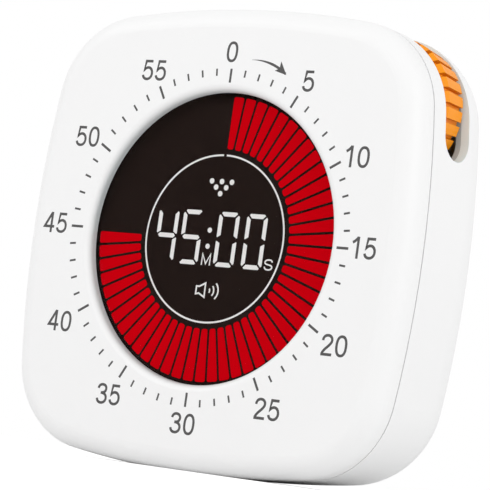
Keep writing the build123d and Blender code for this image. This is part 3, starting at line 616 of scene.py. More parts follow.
@dataclass(frozen=True)
class Board(Finish):
    """Solder mask over copper tracks on a fibreglass board."""

    colour: Colour = WHITE
    track_colour: Colour = WHITE
    track_pitch: float = 4.5 * MM
    track_width: float = 0.05
    track_blur: float = 0.2
    track_length: float = 1.4
    track_height: float = 0.33
    track_share: float = 0.8
    weave_share: float = 0.2
    weave_size: float = 0.6 * MM
    roughness: float = 0.28
    gloss_change: float = 0.12
    depth: float = 0.03 * MM

    def inputs(self, tree: NodeTree, place: Socket) -> Inputs:
        """Gives the board's shader its inputs.

        Args:
            tree: Tree of the material.
            place: Place on the piece.

        Returns:
            Values by input.
        """
        upright = tree.node("ShaderNodeCombineXYZ", {}, {0: place.axis("X"), 1: place.axis("Z")})
        layout = {"offset": 0.37, "squash": 0.6, "squash_frequency": 3}
        sizes = {
            "Vector": upright,
            "Scale": 1 / self.track_pitch,
            "Mortar Size": self.track_width,
            "Mortar Smooth": self.track_blur,
            "Brick Width": self.track_length,
            "Row Height": self.track_height,
        }
        tracks = tree.node("ShaderNodeTexBrick", layout, sizes, "Fac")
        weave = tree.noise(place, self.weave_size)
        return {
            "Base Color": tree.blend(tracks, self.colour, self.track_colour),
            "Roughness": self.roughness + self.gloss_change * weave,
            "Normal": tree.bump(tracks * self.track_share + weave * self.weave_share, self.depth),
        }


@dataclass(frozen=True)
class Striped(Finish):
    """Rubber made of thin dark and pale layers that lie across one axis."""

    dark: Colour = WHITE
    pale: Colour = WHITE
    pitch: float = 0.25 * MM
    grain: float = 0.2 * MM
    depth: float = 0.01 * MM
    roughness: float = 0.6
    gloss_change: float = 0.15

    def inputs(self, tree: NodeTree, place: Socket) -> Inputs:
        """Gives the rubber's shader its inputs.

        Args:
            tree: Tree of the material.
            place: Place on the piece.

        Returns:
            Values by input.
        """
        layer = place.axis("X").remainder(self.pitch) > self.pitch / 2
        grain = tree.noise(place, self.grain)
        return {
            "Base Color": tree.blend(layer, self.dark, self.pale),
            "Roughness": self.roughness + self.gloss_change * grain,
            "Normal": tree.bump(grain, self.depth),
        }


@dataclass(frozen=True)
class CellJacket(Finish):
    """Shrink sleeve of a battery cell with bare metal at its ends."""

    colour: Colour = WHITE
    band_colour: Colour = WHITE
    metal: Colour = WHITE
    sleeve_reach: float = 21.3 * MM
    band_reach: float = 15.0 * MM
    wrinkle_size: float = 1.5 * MM
    wrinkle_shape: Triple = (0.3, 1.0, 1.0)
    roughness: float = 0.25
    gloss_change: float = 0.12
    depth: float = 0.03 * MM

    def inputs(self, tree: NodeTree, place: Socket) -> Inputs:
        """Gives the cell's shader its inputs.

        Args:
            tree: Tree of the material.
            place: Place on the piece.

        Returns:
            Values by input.
        """
        reach = abs(place.axis("X"))
        bare = reach > self.sleeve_reach
        sleeve = tree.blend(reach > self.band_reach, self.colour, self.band_colour)
        wrinkle = tree.noise(tree.stretched(place, self.wrinkle_shape), self.wrinkle_size, 3.0)
        return {
            "Base Color": tree.blend(bare, sleeve, self.metal),
            "Metallic": bare,
            "Roughness": self.roughness + self.gloss_change * wrinkle,
            "Normal": tree.bump(wrinkle, self.depth),
        }


@dataclass(frozen=True)
class StudioPaint(Finish):
    """Matt paint of what stands round the timer, which may glow where the camera sees it."""

    colour: Colour = WHITE
    glow: float = 0.0

    def dress(self, tree: NodeTree) -> Socket:
        """Builds the paint's shader.

        Args:
            tree: Empty tree of the material.

        Returns:
            The shader.
        """
        plain = tree.node("ShaderNodeBsdfDiffuse", {}, {"Color": full(self.colour)})
        if not self.glow:
            return plain
        strength = tree.ray("Camera") * self.glow
        glow = tree.node("ShaderNodeEmission", {}, {"Color": full(WHITE), "Strength": strength})
        return tree.node("ShaderNodeAddShader", {}, {0: plain, 1: glow})


CASE_PLASTIC = {
    "colour": (0.9, 0.9, 0.9),
    "roughness": 0.46,
    "grain": 0.35 * MM,
    "depth": 0.0035 * MM,
    "flow": 0.012,
}
CASE_WHITE = Moulded("moulded_white", **CASE_PLASTIC)
# painted shade on the rim of the window
FRONT_SHELL_WHITE = WindowedShell("moulded_front", painted_rim_shade=(0.49, 0.52, 0.52), **CASE_PLASTIC)
REAR_SHELL_WHITE = SlottedShell(
    "moulded_shell",
    # painted shade in the slot: cool grey on its walls, darker on the collar
    painted_wall_shade=(0.81, 0.95, 0.97),
    painted_collar_shade=(0.46, 0.54, 0.56),
    **CASE_PLASTIC,
)
INK_COAT = {
    "size": 0.35 * MM,
    "detail": 3.0,
    "edge": (0.3, 0.75),
    "tone": 1.25,
    "roughness": 0.5,
    "gloss_change": 0.1,
    "specular": 0.35,
    "depth": 0.002 * MM,
}
DIAL_INK = Patterned("dial_ink", (0.07, 0.068, 0.068), **INK_COAT)
GREY_INK = Patterned("grey_ink", (0.28, 0.28, 0.29), **INK_COAT)
RED_SEGMENT = Lit("red_segment", (0.602, 0.0004, 0.0053))
WHITE_SEGMENT = Lit("white_segment", (0.845, 0.833, 0.822))
ORANGE = Ribbed(
    "moulded_orange",
    (1.0, 0.33, 0.004),
    0.42,
    flow=0.03,
    flow_size=6 * MM,
    specular=0.22,
    # darker orange painted shade on the walls of the grooves
    painted_wall_shade=(0.72, 0.225, 0.003),
    axis_place=(29.15 * MM, 0.0, 73.3 * MM),
)
FINISH_OF_SLOT: dict[str, Finish] = {
    "white_case": CASE_WHITE,
    "orange_wheel": ORANGE,
    "grey_control": Moulded("moulded_grey", (0.5, 0.51, 0.53), 0.5, 0.3 * MM, 0.006 * MM, 0.05),
    "holder_white": Moulded("natural_plastic", (0.8, 0.8, 0.76), 0.5, 0.5 * MM, 0.005 * MM, 0.06),
    "display_black": Patterned("black_glass", (0.0187, 0.012, 0.0103), specular=0.01),
    "clear_lens": Clear("polished_lens", (0.985, 0.985, 0.985), 0.0, 0.03, 1.3),
    "clear_guide": Clear("light_pipe", (0.93, 0.95, 0.95), 0.05, dotted=True),
    "milky_sheet": Moulded("diffusing_sheet", (0.88, 0.88, 0.85), 0.55, 0.15 * MM, 0.01 * MM, 0.01),
    "lamp_strip": Moulded("lamp_phosphor", (0.9, 0.82, 0.42), 0.35, 0.2 * MM, flow=0.1, coat=0.3),
    "zebra_rubber": Striped("zebra_layers", (0.03, 0.03, 0.032), (0.62, 0.62, 0.64)),
    "board_green": Board("solder_mask", (0.012, 0.14, 0.045), (0.03, 0.24, 0.07)),
    "chip_black": Moulded("black_epoxy", (0.03, 0.03, 0.032), 0.42, 0.25 * MM, 0.012 * MM, 0.2),
    "switch_black": Moulded("black_nylon", (0.045, 0.045, 0.05), 0.5, 0.4 * MM, 0.008 * MM, 0.15),
    "capacitor_sleeve": Moulded("blue_sleeve", (0.02, 0.03, 0.11), 0.25, 0.6 * MM, flow=0.2, coat=0.4),
    "connector_cream": Moulded("cream_nylon", (0.84, 0.79, 0.64), 0.48, 0.4 * MM, 0.006 * MM, 0.06),
    "steel_screw": Metal("zinc_steel", (0.6, 0.6, 0.62), 0.34, EVEN, 0.25 * MM, 0.004 * MM),
    "tinned_metal": Metal("tinned_steel", (0.7, 0.7, 0.72), 0.25, (0.15, 1.0, 1.0), 0.3 * MM),
    "contact_nickel": Metal(
        "nickel_plate", (0.74, 0.72, 0.67), 0.24, (1.0, 1.0, 0.2), 0.25 * MM, 0.002 * MM, 0.08
    ),
    "piezo_brass": TurnedMetal(
        "pressed_brass",
        (0.78, 0.6, 0.27),
        0.28,
        mark_size=0.5 * MM,
        depth=0.002 * MM,
        tarnish=0.18,
        cloud_size=3 * MM,
        mark_gloss=0.12,
        centre=(-19.5 * MM, 0.0, 65.6 * MM),
    ),
    "piezo_white": Moulded("fired_ceramic", (0.82, 0.81, 0.76), 0.6, 0.12 * MM, 0.006 * MM, 0.08),
    "cell_sleeve": CellJacket(
        "cell_jacket", (0.035, 0.04, 0.05), (0.42, 0.44, 0.46), (0.7, 0.69, 0.66)
    ),
    "pad_foam": Foam(
        "open_foam",
        (0.07, 0.07, 0.075),
        0.35 * MM,
        tone=0.35,
        roughness=0.85,
        gloss_change=0.1,
        depth=0.08 * MM,
    ),
}
FINISH_OF_NODE: dict[str, Finish] = {
    "front_shell": FRONT_SHELL_WHITE,
    "rear_shell": REAR_SHELL_WHITE,
}


# ---------------------------------------------------------------- flat marks
def arc(centre: Point, radius: float, start: float, end: float, steps: int = 10) -> list[Point]:
    """Points along an arc between two angles in degrees, anticlockwise from the right."""
    angles = [math.radians(start + (end - start) * step / steps) for step in range(steps + 1)]
    return [(centre[0] + radius * math.cos(a), centre[1] + radius * math.sin(a)) for a in angles]


def curve(points: Sequence[Point], steps: int = 10) -> list[Point]:
    """Points along a cubic curve.

    Args:
        points: Start, two handles and end.
        steps: Number of spans.

    Returns:
        The points, both ends included.
    """
    made = []
    for step in range(steps + 1):
        t = step / steps
        shares = ((1 - t) ** 3, 3 * t * (1 - t) ** 2, 3 * t * t * (1 - t), t**3)
        made.append(tuple(sum(s * p[axis] for s, p in zip(shares, points)) for axis in (0, 1)))
    return made


def pen(start: Point, *runs: Sequence[Point], steps: int = 10) -> list[Point]:
    """Points along curves that follow each other.

    Args:
        start: Where the first curve starts.
        runs: Two handles and the end of each curve.
        steps: Number of spans of each curve.

    Returns:
        The points, both ends included.
    """
    made = [start]
    for run in runs:
        made += curve([made[-1], *run], steps)[1:]
    return made


def placed(name: str, mesh: bmesh.types.BMesh, finish: Finish) -> bpy.types.Object:
    """Turns a finished mesh into an object of the scene.

    Args:
        name: Name of the object.
        mesh: Its mesh, which is used up.
        finish: What it is covered with.

    Returns:
        The object.
    """
    data = bpy.data.meshes.new(name)
    mesh.to_mesh(data)
    mesh.free()
    made = bpy.data.objects.new(name, data)
    bpy.context.scene.collection.objects.link(made)
    data.materials.append(finish.material())
    return made


class Sheet:
    """Flat closed shapes that lie in one plane parallel to the dial, gathered in one mesh."""

    LAYER = 0.0002
    LAYER_COUNT = 12
    WELD = 0.000001 * MM
    LEAST_MITRE = 0.5

    def __init__(self, front: float, back: float) -> None:
        """Starts an empty sheet.

        Args:
            front: Depth of its front behind the case's face, in mm.
            back: Depth of its back.
        """
        self.front = front
        self.back = back
        self.count = 0
        self.mesh = bmesh.new()

    def _corner(self, point: Point, depth: float) -> bmesh.types.BMVert:
        """Corner at a dial point in mm and a depth behind the face."""
        return self.mesh.verts.new((point[0] * MM, (FACE_Y + depth) * MM, (DIAL_Z + point[1]) * MM))

    def strip(self, left: Sequence[Point], right: Sequence[Point], closed: bool = False) -> None:
        """Adds a thin solid between two lines of the same number of points.

        Fronts that follow each other differ a little in depth, so that none lie in one plane.

        Args:
            left: Points of one side in mm.
            right: Points of the other side.
            closed: True for a ring without ends.
        """
        step = self.LAYER * (self.count % self.LAYER_COUNT)
        self.count += 1
        rails = [
            [self._corner(point, depth) for point in side]
            for depth in (self.front + step, self.back)
            for side in (left, right)
        ]
        front_left, front_right, back_left, back_right = rails
        spans = len(left) if closed else len(left) - 1
        faces = self.mesh.faces
        for index in range(spans):
            after = (index + 1) % len(left)
            for one, other, start, end in (
                (front_left, front_right, index, after),
                (back_left, back_right, after, index),
                (front_left, back_left, after, index),
                (front_right, back_right, index, after),
            ):
                faces.new((one[start], one[end], other[end], other[start]))
        if not closed:
            faces.new((front_left[0], front_right[0], back_right[0], back_left[0]))
            faces.new((front_right[-1], front_left[-1], back_left[-1], back_right[-1]))

    def stroke(
        self, line: Sequence[Point], widths: float | Sequence[float], closed: bool = False
    ) -> None:
        """Adds a line drawn with a flat nib.

        Args:
            line: Middle of the line in mm.
            widths: Its width, or its width at each point.
            closed: True if the line joins its own start.
        """
        points = [Vector(point) for point in line]
        count = len(points)
        spread = [widths] * count if isinstance(widths, float) else list(widths)
        left, right = [], []
        for index, point in enumerate(points):
            before = points[index - 1] if closed or index else point
            after = points[(index + 1) % count] if closed or index < count - 1 else point
            inward = (point - before).normalized() if (point - before).length else None
            onward = (after - point).normalized() if (after - point).length else None
            ways = [way for way in (inward, onward) if way is not None]
            along = sum(ways, Vector((0.0, 0.0))).normalized()
            side = Vector((-along.y, along.x))
            mitre = max(self.LEAST_MITRE, abs(side.dot(Vector((-ways[0].y, ways[0].x)))))
            shift = side * (spread[index] / 2 / mitre)
            left.append(tuple(point + shift))
            right.append(tuple(point - shift))
        self.strip(left, right, closed)

    def patch(self, outline: Sequence[Point]) -> None:
        """Adds a flat convex shape with these corners in mm, an even number of them."""
        half = len(outline) // 2
        self.strip(outline[:half], outline[half:][::-1])

    def disc(self, centre: Point, radius: float, steps: int = 16) -> None:
        """Adds a round dot with this many spans to a half."""
        upper, lower = (arc(centre, radius, 180, end, steps) for end in (0, 360))
        self.strip(upper, lower)

    def done(self, name: str, finish: Finish, body: str) -> None:
        """Turns the sheet into a piece that rides on a body.

        Args:
            name: Name of the piece.
            finish: What it is covered with.
            body: CAD body that carries it.
        """
        bmesh.ops.remove_doubles(self.mesh, verts=self.mesh.verts, dist=self.WELD)
        bmesh.ops.recalc_face_normals(self.mesh, faces=self.mesh.faces)
        piece = placed(name, self.mesh, finish)
        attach(piece, body)
        LOG.info("%s: %d faces", name, len(piece.data.polygons))


@dataclass
class Numeral:
    """Upright sans numerals drawn as strokes in a box one unit high."""

    height: float = 4.08
    weight: float = 0.53
    advance: float = 0.775
    width: float = 0.64
    loop_steps: int = 36
    loop_power: float = 2.35

    def lines(self, digit: str) -> list[tuple[list[Point], bool]]:
        """Middle lines of one digit.

        Args:
            digit: The digit, 0 to 5.

        Returns:
            Each line with True if it is closed.
        """
        half, reach = self.weight / self.height / 2, self.width / 2
        top, low = 1 - half, half
        if digit == "0":
            loop = []
            for step in range(self.loop_steps):
                angle = math.tau * step / self.loop_steps
                across, up = (
                    math.copysign(abs(way) ** (2 / self.loop_power), way)
                    for way in (math.cos(angle), math.sin(angle))
                )
                loop.append((reach + (reach - half) * across, 0.5 + (0.5 - half) * up))
            return [(loop, True)]
        if digit == "1":
            flag = pen((0.13, 0.73), ((0.26, 0.79), (0.36, 0.88), (0.415, 0.985)))
            return [([(0.425, 0.0), (0.425, 1.0)], False), (flag, False)]
        if digit == "2":
            head = (0.57, 0.72)
            line = pen(
                (0.08, 0.69),
                ((0.09, 0.86), (0.2, top), (0.34, top)),
                ((0.48, top), (0.57, 0.84), head),
            )
            line += pen(head, ((0.57, 0.5), (0.14, 0.33), (0.085, low)), steps=14)[1:]
            return [(line, False), ([(0.03, low), (0.62, low)], False)]
        if digit == "3":
            upper = pen(
                (0.08, 0.74),
                ((0.1, 0.87), (0.19, top), (0.31, top)),
                ((0.45, top), (0.54, 0.86), (0.54, 0.75)),
                ((0.54, 0.6), (0.42, 0.54), (0.24, 0.54)),
            )
            lower = pen(
                (0.24, 0.54),
                ((0.46, 0.54), (0.58, 0.45), (0.58, 0.31)),
                ((0.58, 0.16), (0.47, low), (0.31, low)),
                ((0.18, low), (0.08, 0.13), (0.06, 0.27)),
            )
            return [(upper, False), (lower, False)]
        if digit == "4":
            slope = [(0.445, 0.985), (0.05, 0.295), (0.64, 0.295)]
            return [(slope, False), ([(0.455, 1.0), (0.455, 0.0)], False)]
        bowl = pen(
            (0.105, 0.5),
            ((0.17, 0.59), (0.25, 0.625), (0.33, 0.625)),
            ((0.48, 0.625), (0.58, 0.5), (0.58, 0.345)),
            ((0.58, 0.17), (0.46, low), (0.31, low)),
            ((0.18, low), (0.08, 0.13), (0.06, 0.26)),
        )
        return [([(0.57, top), (0.17, top), *bowl], False)]

    def write(self, sheet: Sheet, text: str, centre: Point) -> None:
        """Writes a number about a point.

        Args:
            sheet: Sheet that takes the strokes.
            text: Digits to write.
            centre: Middle of the number in mm.
        """
        whole = (self.advance * (len(text) - 1) + self.width) * self.height
        for place, digit in enumerate(text):
            left = centre[0] - whole / 2 + place * self.advance * self.height
            foot = centre[1] - self.height / 2
            for line, closed in self.lines(digit):
                points = [(left + x * self.height, foot + z * self.height) for x, z in line]
                sheet.stroke(points, self.weight, closed)


# ---------------------------------------------------------------- sub-assemblies
@dataclass
class DialPrint:
    """Minute scale, numbers and the turning arrow printed round the window."""

    minutes: int = 60
    number_step: int = 5
    outer_radius: float = 32.72
    major_inner: float = 30.0
    minor_inner: float = 31.32
    major_width: float = 0.5
    minor_width: float = 0.4
    proud: float = 0.008
    sunk: float = 0.02
    number_centres: tuple[Point, ...] = (
        (-0.02, 35.93),
        (18.54, 30.78),
        (31.56, 17.0),
        (35.69, 0.21),
        (32.34, -18.1),
        (19.43, -31.2),
        (0.53, -35.84),
        (-18.1, -32.05),
        (-32.75, -18.85),
        (-37.42, 0.48),
        (-32.45, 18.07),
        (-18.23, 31.81),
    )
    arrow_centre: Point = (5.3, 21.3)
    arrow_radius: float = 13.2
    arrow_start: float = 92.0
    arrow_end: float = 54.0
    arrow_steps: int = 16
    arrow_swell: int = 9
    arrow_tail_width: float = 0.04
    arrow_width: float = 0.5
    arrow_head: tuple[Point, ...] = ((13.27, 31.78), (11.7, 34.37), (10.46, 32.54), (11.5, 33.0))
    offset: float = 0.468
    widening: float = 0.0049
    lean: float = 0.0043
    narrowing: float = 0.00077
    turn: float = 0.0028
    shortening: float = 0.0025
    numeral: Numeral = field(default_factory=Numeral)

    def build(self) -> None:
        """Prints the scale on the case."""
        self._ticks()
        self._numbers()
        self._arrow()

    def _sheet(self) -> Sheet:
        """Empty sheet as thick as the ink."""
        return Sheet(-self.proud, self.sunk)

    def _ticks(self) -> None:
        """Prints sixty ticks, every fifth one longer."""
        sheet = self._sheet()
        for minute in range(self.minutes):
            turn = math.radians(90 - 360 // self.minutes * minute)
            way = (math.cos(turn), math.sin(turn))
            major = minute % self.number_step == 0
            inner = self.major_inner if major else self.minor_inner
            ends = [self._printed((way[0] * r, way[1] * r)) for r in (inner, self.outer_radius)]
            sheet.stroke(ends, self.major_width if major else self.minor_width)
        sheet.done("dial_ticks", DIAL_INK, "case")

    def _printed(self, point: Point) -> Point:
        """Place of a point of the true scale on the face, where the print sits a little askew.

        Args:
            point: Place on the true scale in mm.

        Returns:
            Its place as printed.
        """
        x, z = point
        across = self.offset + self.widening * x - self.lean * z - self.narrowing * x * x
        up = -self.turn * x - self.shortening * z - self.narrowing * x * z
        return (x + across, z + up)

    def _numbers(self) -> None:
        """Prints the minutes upright, one number at each long tick."""
        sheet = self._sheet()
        for step, centre in enumerate(self.number_centres):
            self.numeral.write(sheet, str(self.number_step * step), centre)
        sheet.done("dial_numbers", DIAL_INK, "case")

    def _arrow(self) -> None:
        """Prints the arrow that shows which way the wheel sets the time."""
        sheet = self._sheet()
        ends = (self.arrow_start, self.arrow_end)
        shaft = arc(self.arrow_centre, self.arrow_radius, *ends, self.arrow_steps)
        swell = self.arrow_width - self.arrow_tail_width
        shares = [min(1.0, step / self.arrow_swell) for step in range(self.arrow_steps + 1)]
        sheet.stroke(shaft, [self.arrow_tail_width + swell * share for share in shares])
        tip, outer, inner, notch = self.arrow_head
        sheet.strip([tip, tip], [notch, outer])
        sheet.strip([tip, tip], [inner, notch])
        sheet.done("dial_arrow", DIAL_INK, "case")


class Segment(Enum):
    """Segments of one digit by their usual letters."""

    TOP = "a"
    UPPER_RIGHT = "b"
    LOWER_RIGHT = "c"
    BOTTOM = "d"
    LOWER_LEFT = "e"
    UPPER_LEFT = "f"
    MIDDLE = "g"


SEGMENTS_OF: dict[str, str] = {"0": "abcdef", "4": "bcfg", "5": "acdfg"}


@dataclass
class DisplayArt:
    """Lit marks of the display: the minute ring, the figures and the small signs."""

    front_depth: float = 2.84
    back_depth: float = 2.885
    ring_centre: Point = (-0.2, 0.03)
    ring_inner: float = 17.42
    ring_outer: float = 27.6
    ring_gap: float = 0.5
    ring_count: int = 60
    lit_count: int = 45
    wedge_corner: float = 0.35
    wedge_round: float = 0.3
    circle_radius: float = 16.2
    circle_width: float = 0.34
    circle_gap: float = 2.5
    circle_steps: int = 120
    digit_top: float = 5.32
    digit_bottom: float = -5.28
    digit_width: float = 4.82
    stroke_width: float = 0.86
    stroke_gap: float = 0.29
    stroke_blunt: float = 0.8
    middle_gap: float = 0.36
    tip_cut: float = 0.12
    digits: tuple[tuple[str, float], ...] = (("4", -11.6), ("5", -5.66), ("0", 2.84), ("0", 9.39))
    colon_radius: float = 0.5
    colon_centres: tuple[Point, ...] = ((-1.39, 1.6), (-1.38, -1.53))
    dot_radius: float = 0.53
    dot_centres: tuple[Point, ...] = (
        (-2.5, 11.13),
        (-0.13, 11.12),
        (2.24, 11.09),
        (-1.34, 9.98),
        (1.05, 9.98),
        (-0.17, 8.76),
    )
    letter_stroke: float = 0.28
    minute_letter: tuple[Point, ...] = (
        (-2.26, -5.2),
        (-2.26, -3.0),
        (-1.31, -4.9),
        (-0.36, -3.0),
        (-0.36, -5.2),
    )
    horn_stroke: float = 0.31
    horn: tuple[Point, ...] = (
        (-2.64, -9.32),
        (-1.95, -9.32),
        (-0.59, -8.62),
        (-0.55, -11.33),
        (-1.93, -10.64),
        (-2.64, -10.81),
    )
    wave_stroke: float = 0.3
    wave_height: float = -10.0
    waves: tuple[Triple, ...] = ((-0.08, 0.65, 37), (0.15, 1.39, 42), (0.54, 2.03, 47))

    def build(self) -> None:
        """Makes the lit marks behind the lens."""
        self._ring()
        self._circle()
        self._figures()
        self._signs()

    def _sheet(self) -> Sheet:
        """Empty sheet on the display's front glass."""
        return Sheet(self.front_depth, self.back_depth)

    def _ring(self) -> None:
        """Makes the red wedges that are still lit, with rounded corners."""
        sheet = self._sheet()
        half_gap, corner = self.ring_gap / 2, self.wedge_corner
        middle = self.wedge_round * corner
        rounding = ((0.0, corner), (middle, middle), (corner, 0.0))
        pitch = 360 / self.ring_count
        for place in range(self.lit_count):
            early, late = (math.radians(90 - pitch * edge) for edge in (place, place + 1))
            inner: list[Point] = []
            outer: list[Point] = []
            for side, turn, stations in ((1, early, rounding), (-1, late, rounding[::-1])):
                for off, cut in stations:
                    radii = (self.ring_inner + cut, self.ring_outer - cut)
                    for rail, radius in zip((inner, outer), radii):
                        lean = math.asin((half_gap + off) / radius)
                        rail.append(self._polar(radius, turn - side * lean))
            sheet.strip(inner, outer)
        sheet.done("lit_minute_ring", RED_SEGMENT, "case")

    def _polar(self, radius: float, turn: float) -> Point:
        """Point at a radius and an angle in radians about the ring's middle."""
        across, up = self.ring_centre
        return (across + radius * math.cos(turn), up + radius * math.sin(turn))

    def _circle(self) -> None:
        """Makes the thin circle round the figures, open at the top."""
        sheet = self._sheet()
        ends = (90 - self.circle_gap / 2, -270 + self.circle_gap / 2)
        line = arc(self.ring_centre, self.circle_radius, *ends, self.circle_steps)
        sheet.stroke(line, self.circle_width)
        sheet.done("lit_circle", WHITE_SEGMENT, "case")

    def _outline(self, segment: Segment, centre: float) -> list[Point]:
        """Outline of one segment of a digit.

        Args:
            segment: Which segment.
            centre: Middle of the digit from left to right, in mm.

        Returns:
            The outline.
        """
        wide, gap, blunt = self.stroke_width, self.stroke_gap, self.stroke_blunt
        left, right = centre - self.digit_width / 2, centre + self.digit_width / 2
        top, low, apart = self.digit_top, self.digit_bottom, self.middle_gap
        middle, half, tip = (top + low) / 2, wide / 2, (blunt - gap) / 2
        if segment is Segment.MIDDLE:
            return [
                (left + apart, middle),
                (left + apart + half, middle + half),
                (right - apart - half, middle + half),
                (right - apart, middle),
                (right - apart - half, middle - half),
                (left + apart + half, middle - half),
            ]
        if segment in (Segment.TOP, Segment.BOTTOM):
            edge, inward = (top, -1) if segment is Segment.TOP else (low, 1)
            return [
                (left + gap + tip, edge + inward * tip),
                (left + blunt, edge),
                (right - blunt, edge),
                (right - gap - tip, edge + inward * tip),
                (right - gap - wide, edge + inward * wide),
                (left + gap + wide, edge + inward * wide),
            ]
        on_left = segment in (Segment.UPPER_LEFT, Segment.LOWER_LEFT)
        upper = segment in (Segment.UPPER_LEFT, Segment.UPPER_RIGHT)
        outer, inward = (left, 1) if on_left else (right, -1)
        end, sign = (top, 1) if upper else (low, -1)
        return [
            (outer + inward * tip, end - sign * (gap + tip)),
            (outer + inward * wide, end - sign * (gap + wide)),
            (outer + inward * wide, middle + sign * (apart + half)),
            (outer + inward * self.tip_cut, middle + sign * apart),
            (outer, middle + sign * (apart + self.tip_cut)),
            (outer, end - sign * blunt),
        ]

    def _figures(self) -> None:
        """Makes the figures of the time and the colon."""
        sheet = self._sheet()
        for digit, centre in self.digits:
            for letter in SEGMENTS_OF[digit]:
                sheet.patch(self._outline(Segment(letter), centre))
        for centre in self.colon_centres:
            sheet.disc(centre, self.colon_radius)
        sheet.done("lit_figures", WHITE_SEGMENT, "case")

    def _second_letter(self) -> list[Point]:
        """Middle line of the letter that stands for seconds.

        Returns:
            The line.
        """
        upper, lower = (12.5, -3.68), (14.2, -4.53)
        head = [((14.0, -3.08), (13.55, -3.18), (13.3, -3.18)), ((12.8, -3.18), (12.5, -3.43), upper)]
        slope = pen(upper, ((12.5, -4.28), (14.2, -3.93), lower))
        foot = [((14.2, -4.88), (13.85, -5.06), (13.35, -5.06))]
        foot.append(((12.85, -5.06), (12.5, -4.88), (12.48, -4.5)))
        return pen((14.18, -3.6), *head, steps=8) + slope[1:] + pen(lower, *foot, steps=8)[1:]

    def _signs(self) -> None:
        """Makes the dots, the unit letters and the sound sign."""
        sheet = self._sheet()
        for centre in self.dot_centres:
            sheet.disc(centre, self.dot_radius)
        sheet.stroke(self.minute_letter, self.letter_stroke)
        sheet.stroke(self._second_letter(), self.letter_stroke)
        sheet.stroke(self.horn, self.horn_stroke, True)
        for middle, radius, half_turn in self.waves:
            line = arc((middle, self.wave_height), radius, half_turn, -half_turn)
            sheet.stroke(line, self.wave_stroke)
        sheet.done("lit_signs", WHITE_SEGMENT, "case")


@dataclass
class BackMarks:
    """Signs printed on the back: quiet and loud beside the slider, and the way the door opens."""

    back_depth: float = 31.5
    proud: float = 0.008
    sunk: float = 0.02
    slider_middle: float = 8.0
    sign_shift: float = 9.6
    sign_height: float = 26.0
    line: float = 0.24
    horn: tuple[Point, ...] = (
        (0.9, 0.38),
        (0.4, 0.38),
        (-0.3, 0.95),
        (-0.3, -0.95),
        (0.4, -0.38),
        (0.9, -0.38),
    )
    cross: tuple[Point, Point] = ((-0.8, -0.45), (-1.7, 0.45))
    wave_middle: float = -0.3
    wave_radii: Point = (0.75, 1.3)
    wave_half_turn: float = 42.0
    chevron_line: float = 0.3
    chevron_top: float = -5.5
    chevron_half: float = 1.5
    chevron_rise: float = 0.9
    chevron_step: float = 1.3
    chevron_count: int = 2

    def build(self) -> None:
        """Prints the signs on the case and on the door."""
        self._sounds()
        self._chevrons()

    def _sheet(self) -> Sheet:
        """Empty sheet as thick as the ink."""
        return Sheet(self.back_depth + self.proud, self.back_depth - self.sunk)

    def _sounds(self) -> None:
        """Prints the quiet sign at one end of the slider and the loud one at the other."""
        sheet = self._sheet()
        up = self.sign_height
        quiet, loud = self.slider_middle + self.sign_shift, self.slider_middle - self.sign_shift
        for middle in (quiet, loud):
            sheet.stroke([(middle + x, up + z) for x, z in self.horn], self.line, True)
        for slope in (1, -1):
            sheet.stroke([(quiet + x, up + slope * z) for x, z in self.cross], self.line)
        ends = (180 - self.wave_half_turn, 180 + self.wave_half_turn)
        for radius in self.wave_radii:
            sheet.stroke(arc((loud + self.wave_middle, up), radius, *ends), self.line)
        sheet.done("back_signs", GREY_INK, "case")

    def _chevrons(self) -> None:
        """Prints the arrow heads under the door's latch."""
        sheet = self._sheet()
        for index in range(self.chevron_count):
            top = self.chevron_top - index * self.chevron_step
            wings = [(side * self.chevron_half, top) for side in (-1, 1)]
            tip = (0.0, top - self.chevron_rise)
            sheet.stroke([wings[0], tip, wings[1]], self.chevron_line)
        sheet.done("door_arrow", GREY_INK, "door")


@dataclass
class Dressing:
    """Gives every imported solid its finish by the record's material slots."""

    record: dict[str, object]
    nodes: dict[str, bpy.types.Object]

    def dress(self) -> None:
        """Puts the finishes on the solids."""
        for row in self.record["subparts"]:
            finish = FINISH_OF_NODE.get(row["node"], FINISH_OF_SLOT[row["material_slot"]])
            data = self.nodes[row["node"]].data
            data.materials.clear()
            data.materials.append(finish.material())
            LOG.info("%s: %s", row["node"], finish.name)


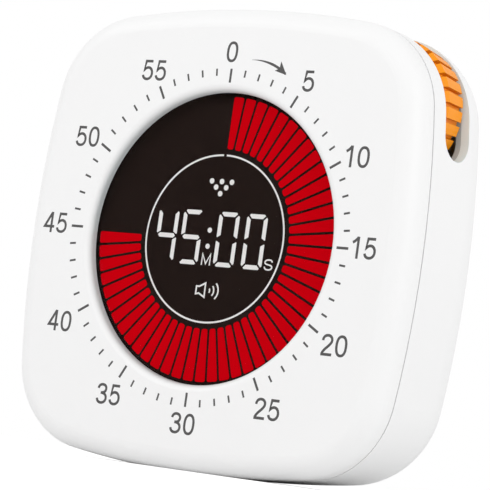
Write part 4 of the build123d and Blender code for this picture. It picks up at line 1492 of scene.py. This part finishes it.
@dataclass
class Studio:
    """Pale floor, even sky, two large soft lamps and a card that only mirrors see."""

    floor_reach: float = 4.0
    floor_sides: int = 96
    floor_paint: StudioPaint = StudioPaint("pale_floor", (0.9, 0.9, 0.9), 0.35)
    card_place: Triple = (-0.292, -0.42, 0.085)
    card_side: float = 0.17
    card_paint: StudioPaint = StudioPaint("black_card", BLACK)
    sky: float = 0.78
    lamps: tuple[tuple[str, Triple, float, float], ...] = (
        ("key", (-1.2, -1.25, 0.98), 1.1, 7.27),
        ("fill", (1.5, -0.6, 0.75), 1.0, 7.6),
    )

    def build(self) -> None:
        """Makes the floor, the card, the sky and the lamps."""
        self._floor()
        self._card()
        self._sky()
        for lamp in self.lamps:
            self._lamp(*lamp)

    def _floor(self) -> None:
        """Makes the floor, which looks white to the camera where nothing shades it."""
        mesh = bmesh.new()
        sizes = {"segments": self.floor_sides, "radius": self.floor_reach}
        bmesh.ops.create_circle(mesh, cap_ends=True, **sizes)
        floor = placed("floor", mesh, self.floor_paint)

    def _card(self) -> None:
        """Hangs a black card that keeps the sky's reflection off the window."""
        mesh = bmesh.new()
        bmesh.ops.create_grid(mesh, x_segments=1, y_segments=1, size=self.card_side / 2)
        card = placed("card", mesh, self.card_paint)
        card.location = self.card_place
        way = TIMER_MIDDLE - Vector(self.card_place)
        card.rotation_euler = way.to_track_quat("Z", "Y").to_euler()
        card.visible_camera = card.visible_diffuse = card.visible_shadow = False

    def _sky(self) -> None:
        """Makes the sky: white where it is seen or mirrored, softer as a light."""
        world = bpy.data.worlds.new("sky")
        world.use_nodes = True
        bpy.context.scene.world = world
        tree = NodeTree(world.node_tree)
        shown = tree.ray("Camera").either(tree.ray("Glossy")).either(tree.ray("Transmission"))
        level = self.sky + (1.0 - self.sky) * shown
        light = tree.node("ShaderNodeBackground", {}, {"Color": full(WHITE), "Strength": level})
        tree.node("ShaderNodeOutputWorld", {}, {0: light})

    @staticmethod
    def _lamp(name: str, place: Triple, size: float, power: float) -> None:
        """Hangs a square lamp that looks at the timer.

        Args:
            name: Name of the lamp.
            place: Where it hangs in metres.
            size: Side of the lamp in metres.
            power: Its power in watts.
        """
        data = bpy.data.lights.new(name, "AREA")
        data.size = size
        data.energy = power
        lamp = bpy.data.objects.new(name, data)
        lamp.location = place
        lamp.rotation_euler = (TIMER_MIDDLE - Vector(place)).to_track_quat("-Z", "Y").to_euler()
        bpy.context.scene.collection.objects.link(lamp)


@dataclass
class Camera:
    """Long lens near the table, to the right of the face, aimed slightly up and rolled a little."""

    place: Triple = (0.3073, -0.42865, 0.0020)
    forward: Triple = (-0.58334, 0.80813, 0.08147)
    roll: float = math.radians(8.011)
    lens: float = 199.05
    sensor: float = 36.0
    clips: Point = (0.01, 20.0)

    def build(self) -> None:
        """Makes the scene's camera."""
        ahead = Vector(self.forward).normalized()
        level_right = ahead.cross(Vector((0, 0, 1))).normalized()
        level_up = level_right.cross(ahead)
        right = level_right * math.cos(self.roll) + level_up * math.sin(self.roll)
        up = level_up * math.cos(self.roll) - level_right * math.sin(self.roll)
        data = bpy.data.cameras.new("camera")
        data.lens = self.lens
        data.sensor_width = self.sensor
        data.clip_start, data.clip_end = self.clips
        camera = bpy.data.objects.new("camera", data)
        turn = Matrix((right, up, -ahead)).transposed().to_4x4()
        camera.matrix_world = Matrix.Translation(self.place) @ turn
        bpy.context.scene.collection.objects.link(camera)
        bpy.context.scene.camera = camera


def main() -> None:
    """Builds and dresses the timer."""
    logging.basicConfig(level=logging.INFO, format="%(name)s: %(message)s")
    Camera().build()
    Studio().build()
    Dressing(frame["record"], frame["nodes"]).dress()
    DialPrint().build()
    DisplayArt().build()
    BackMarks().build()
    bpy.context.scene.view_settings.view_transform = "Standard"


if __name__ == "__main__":
    main()
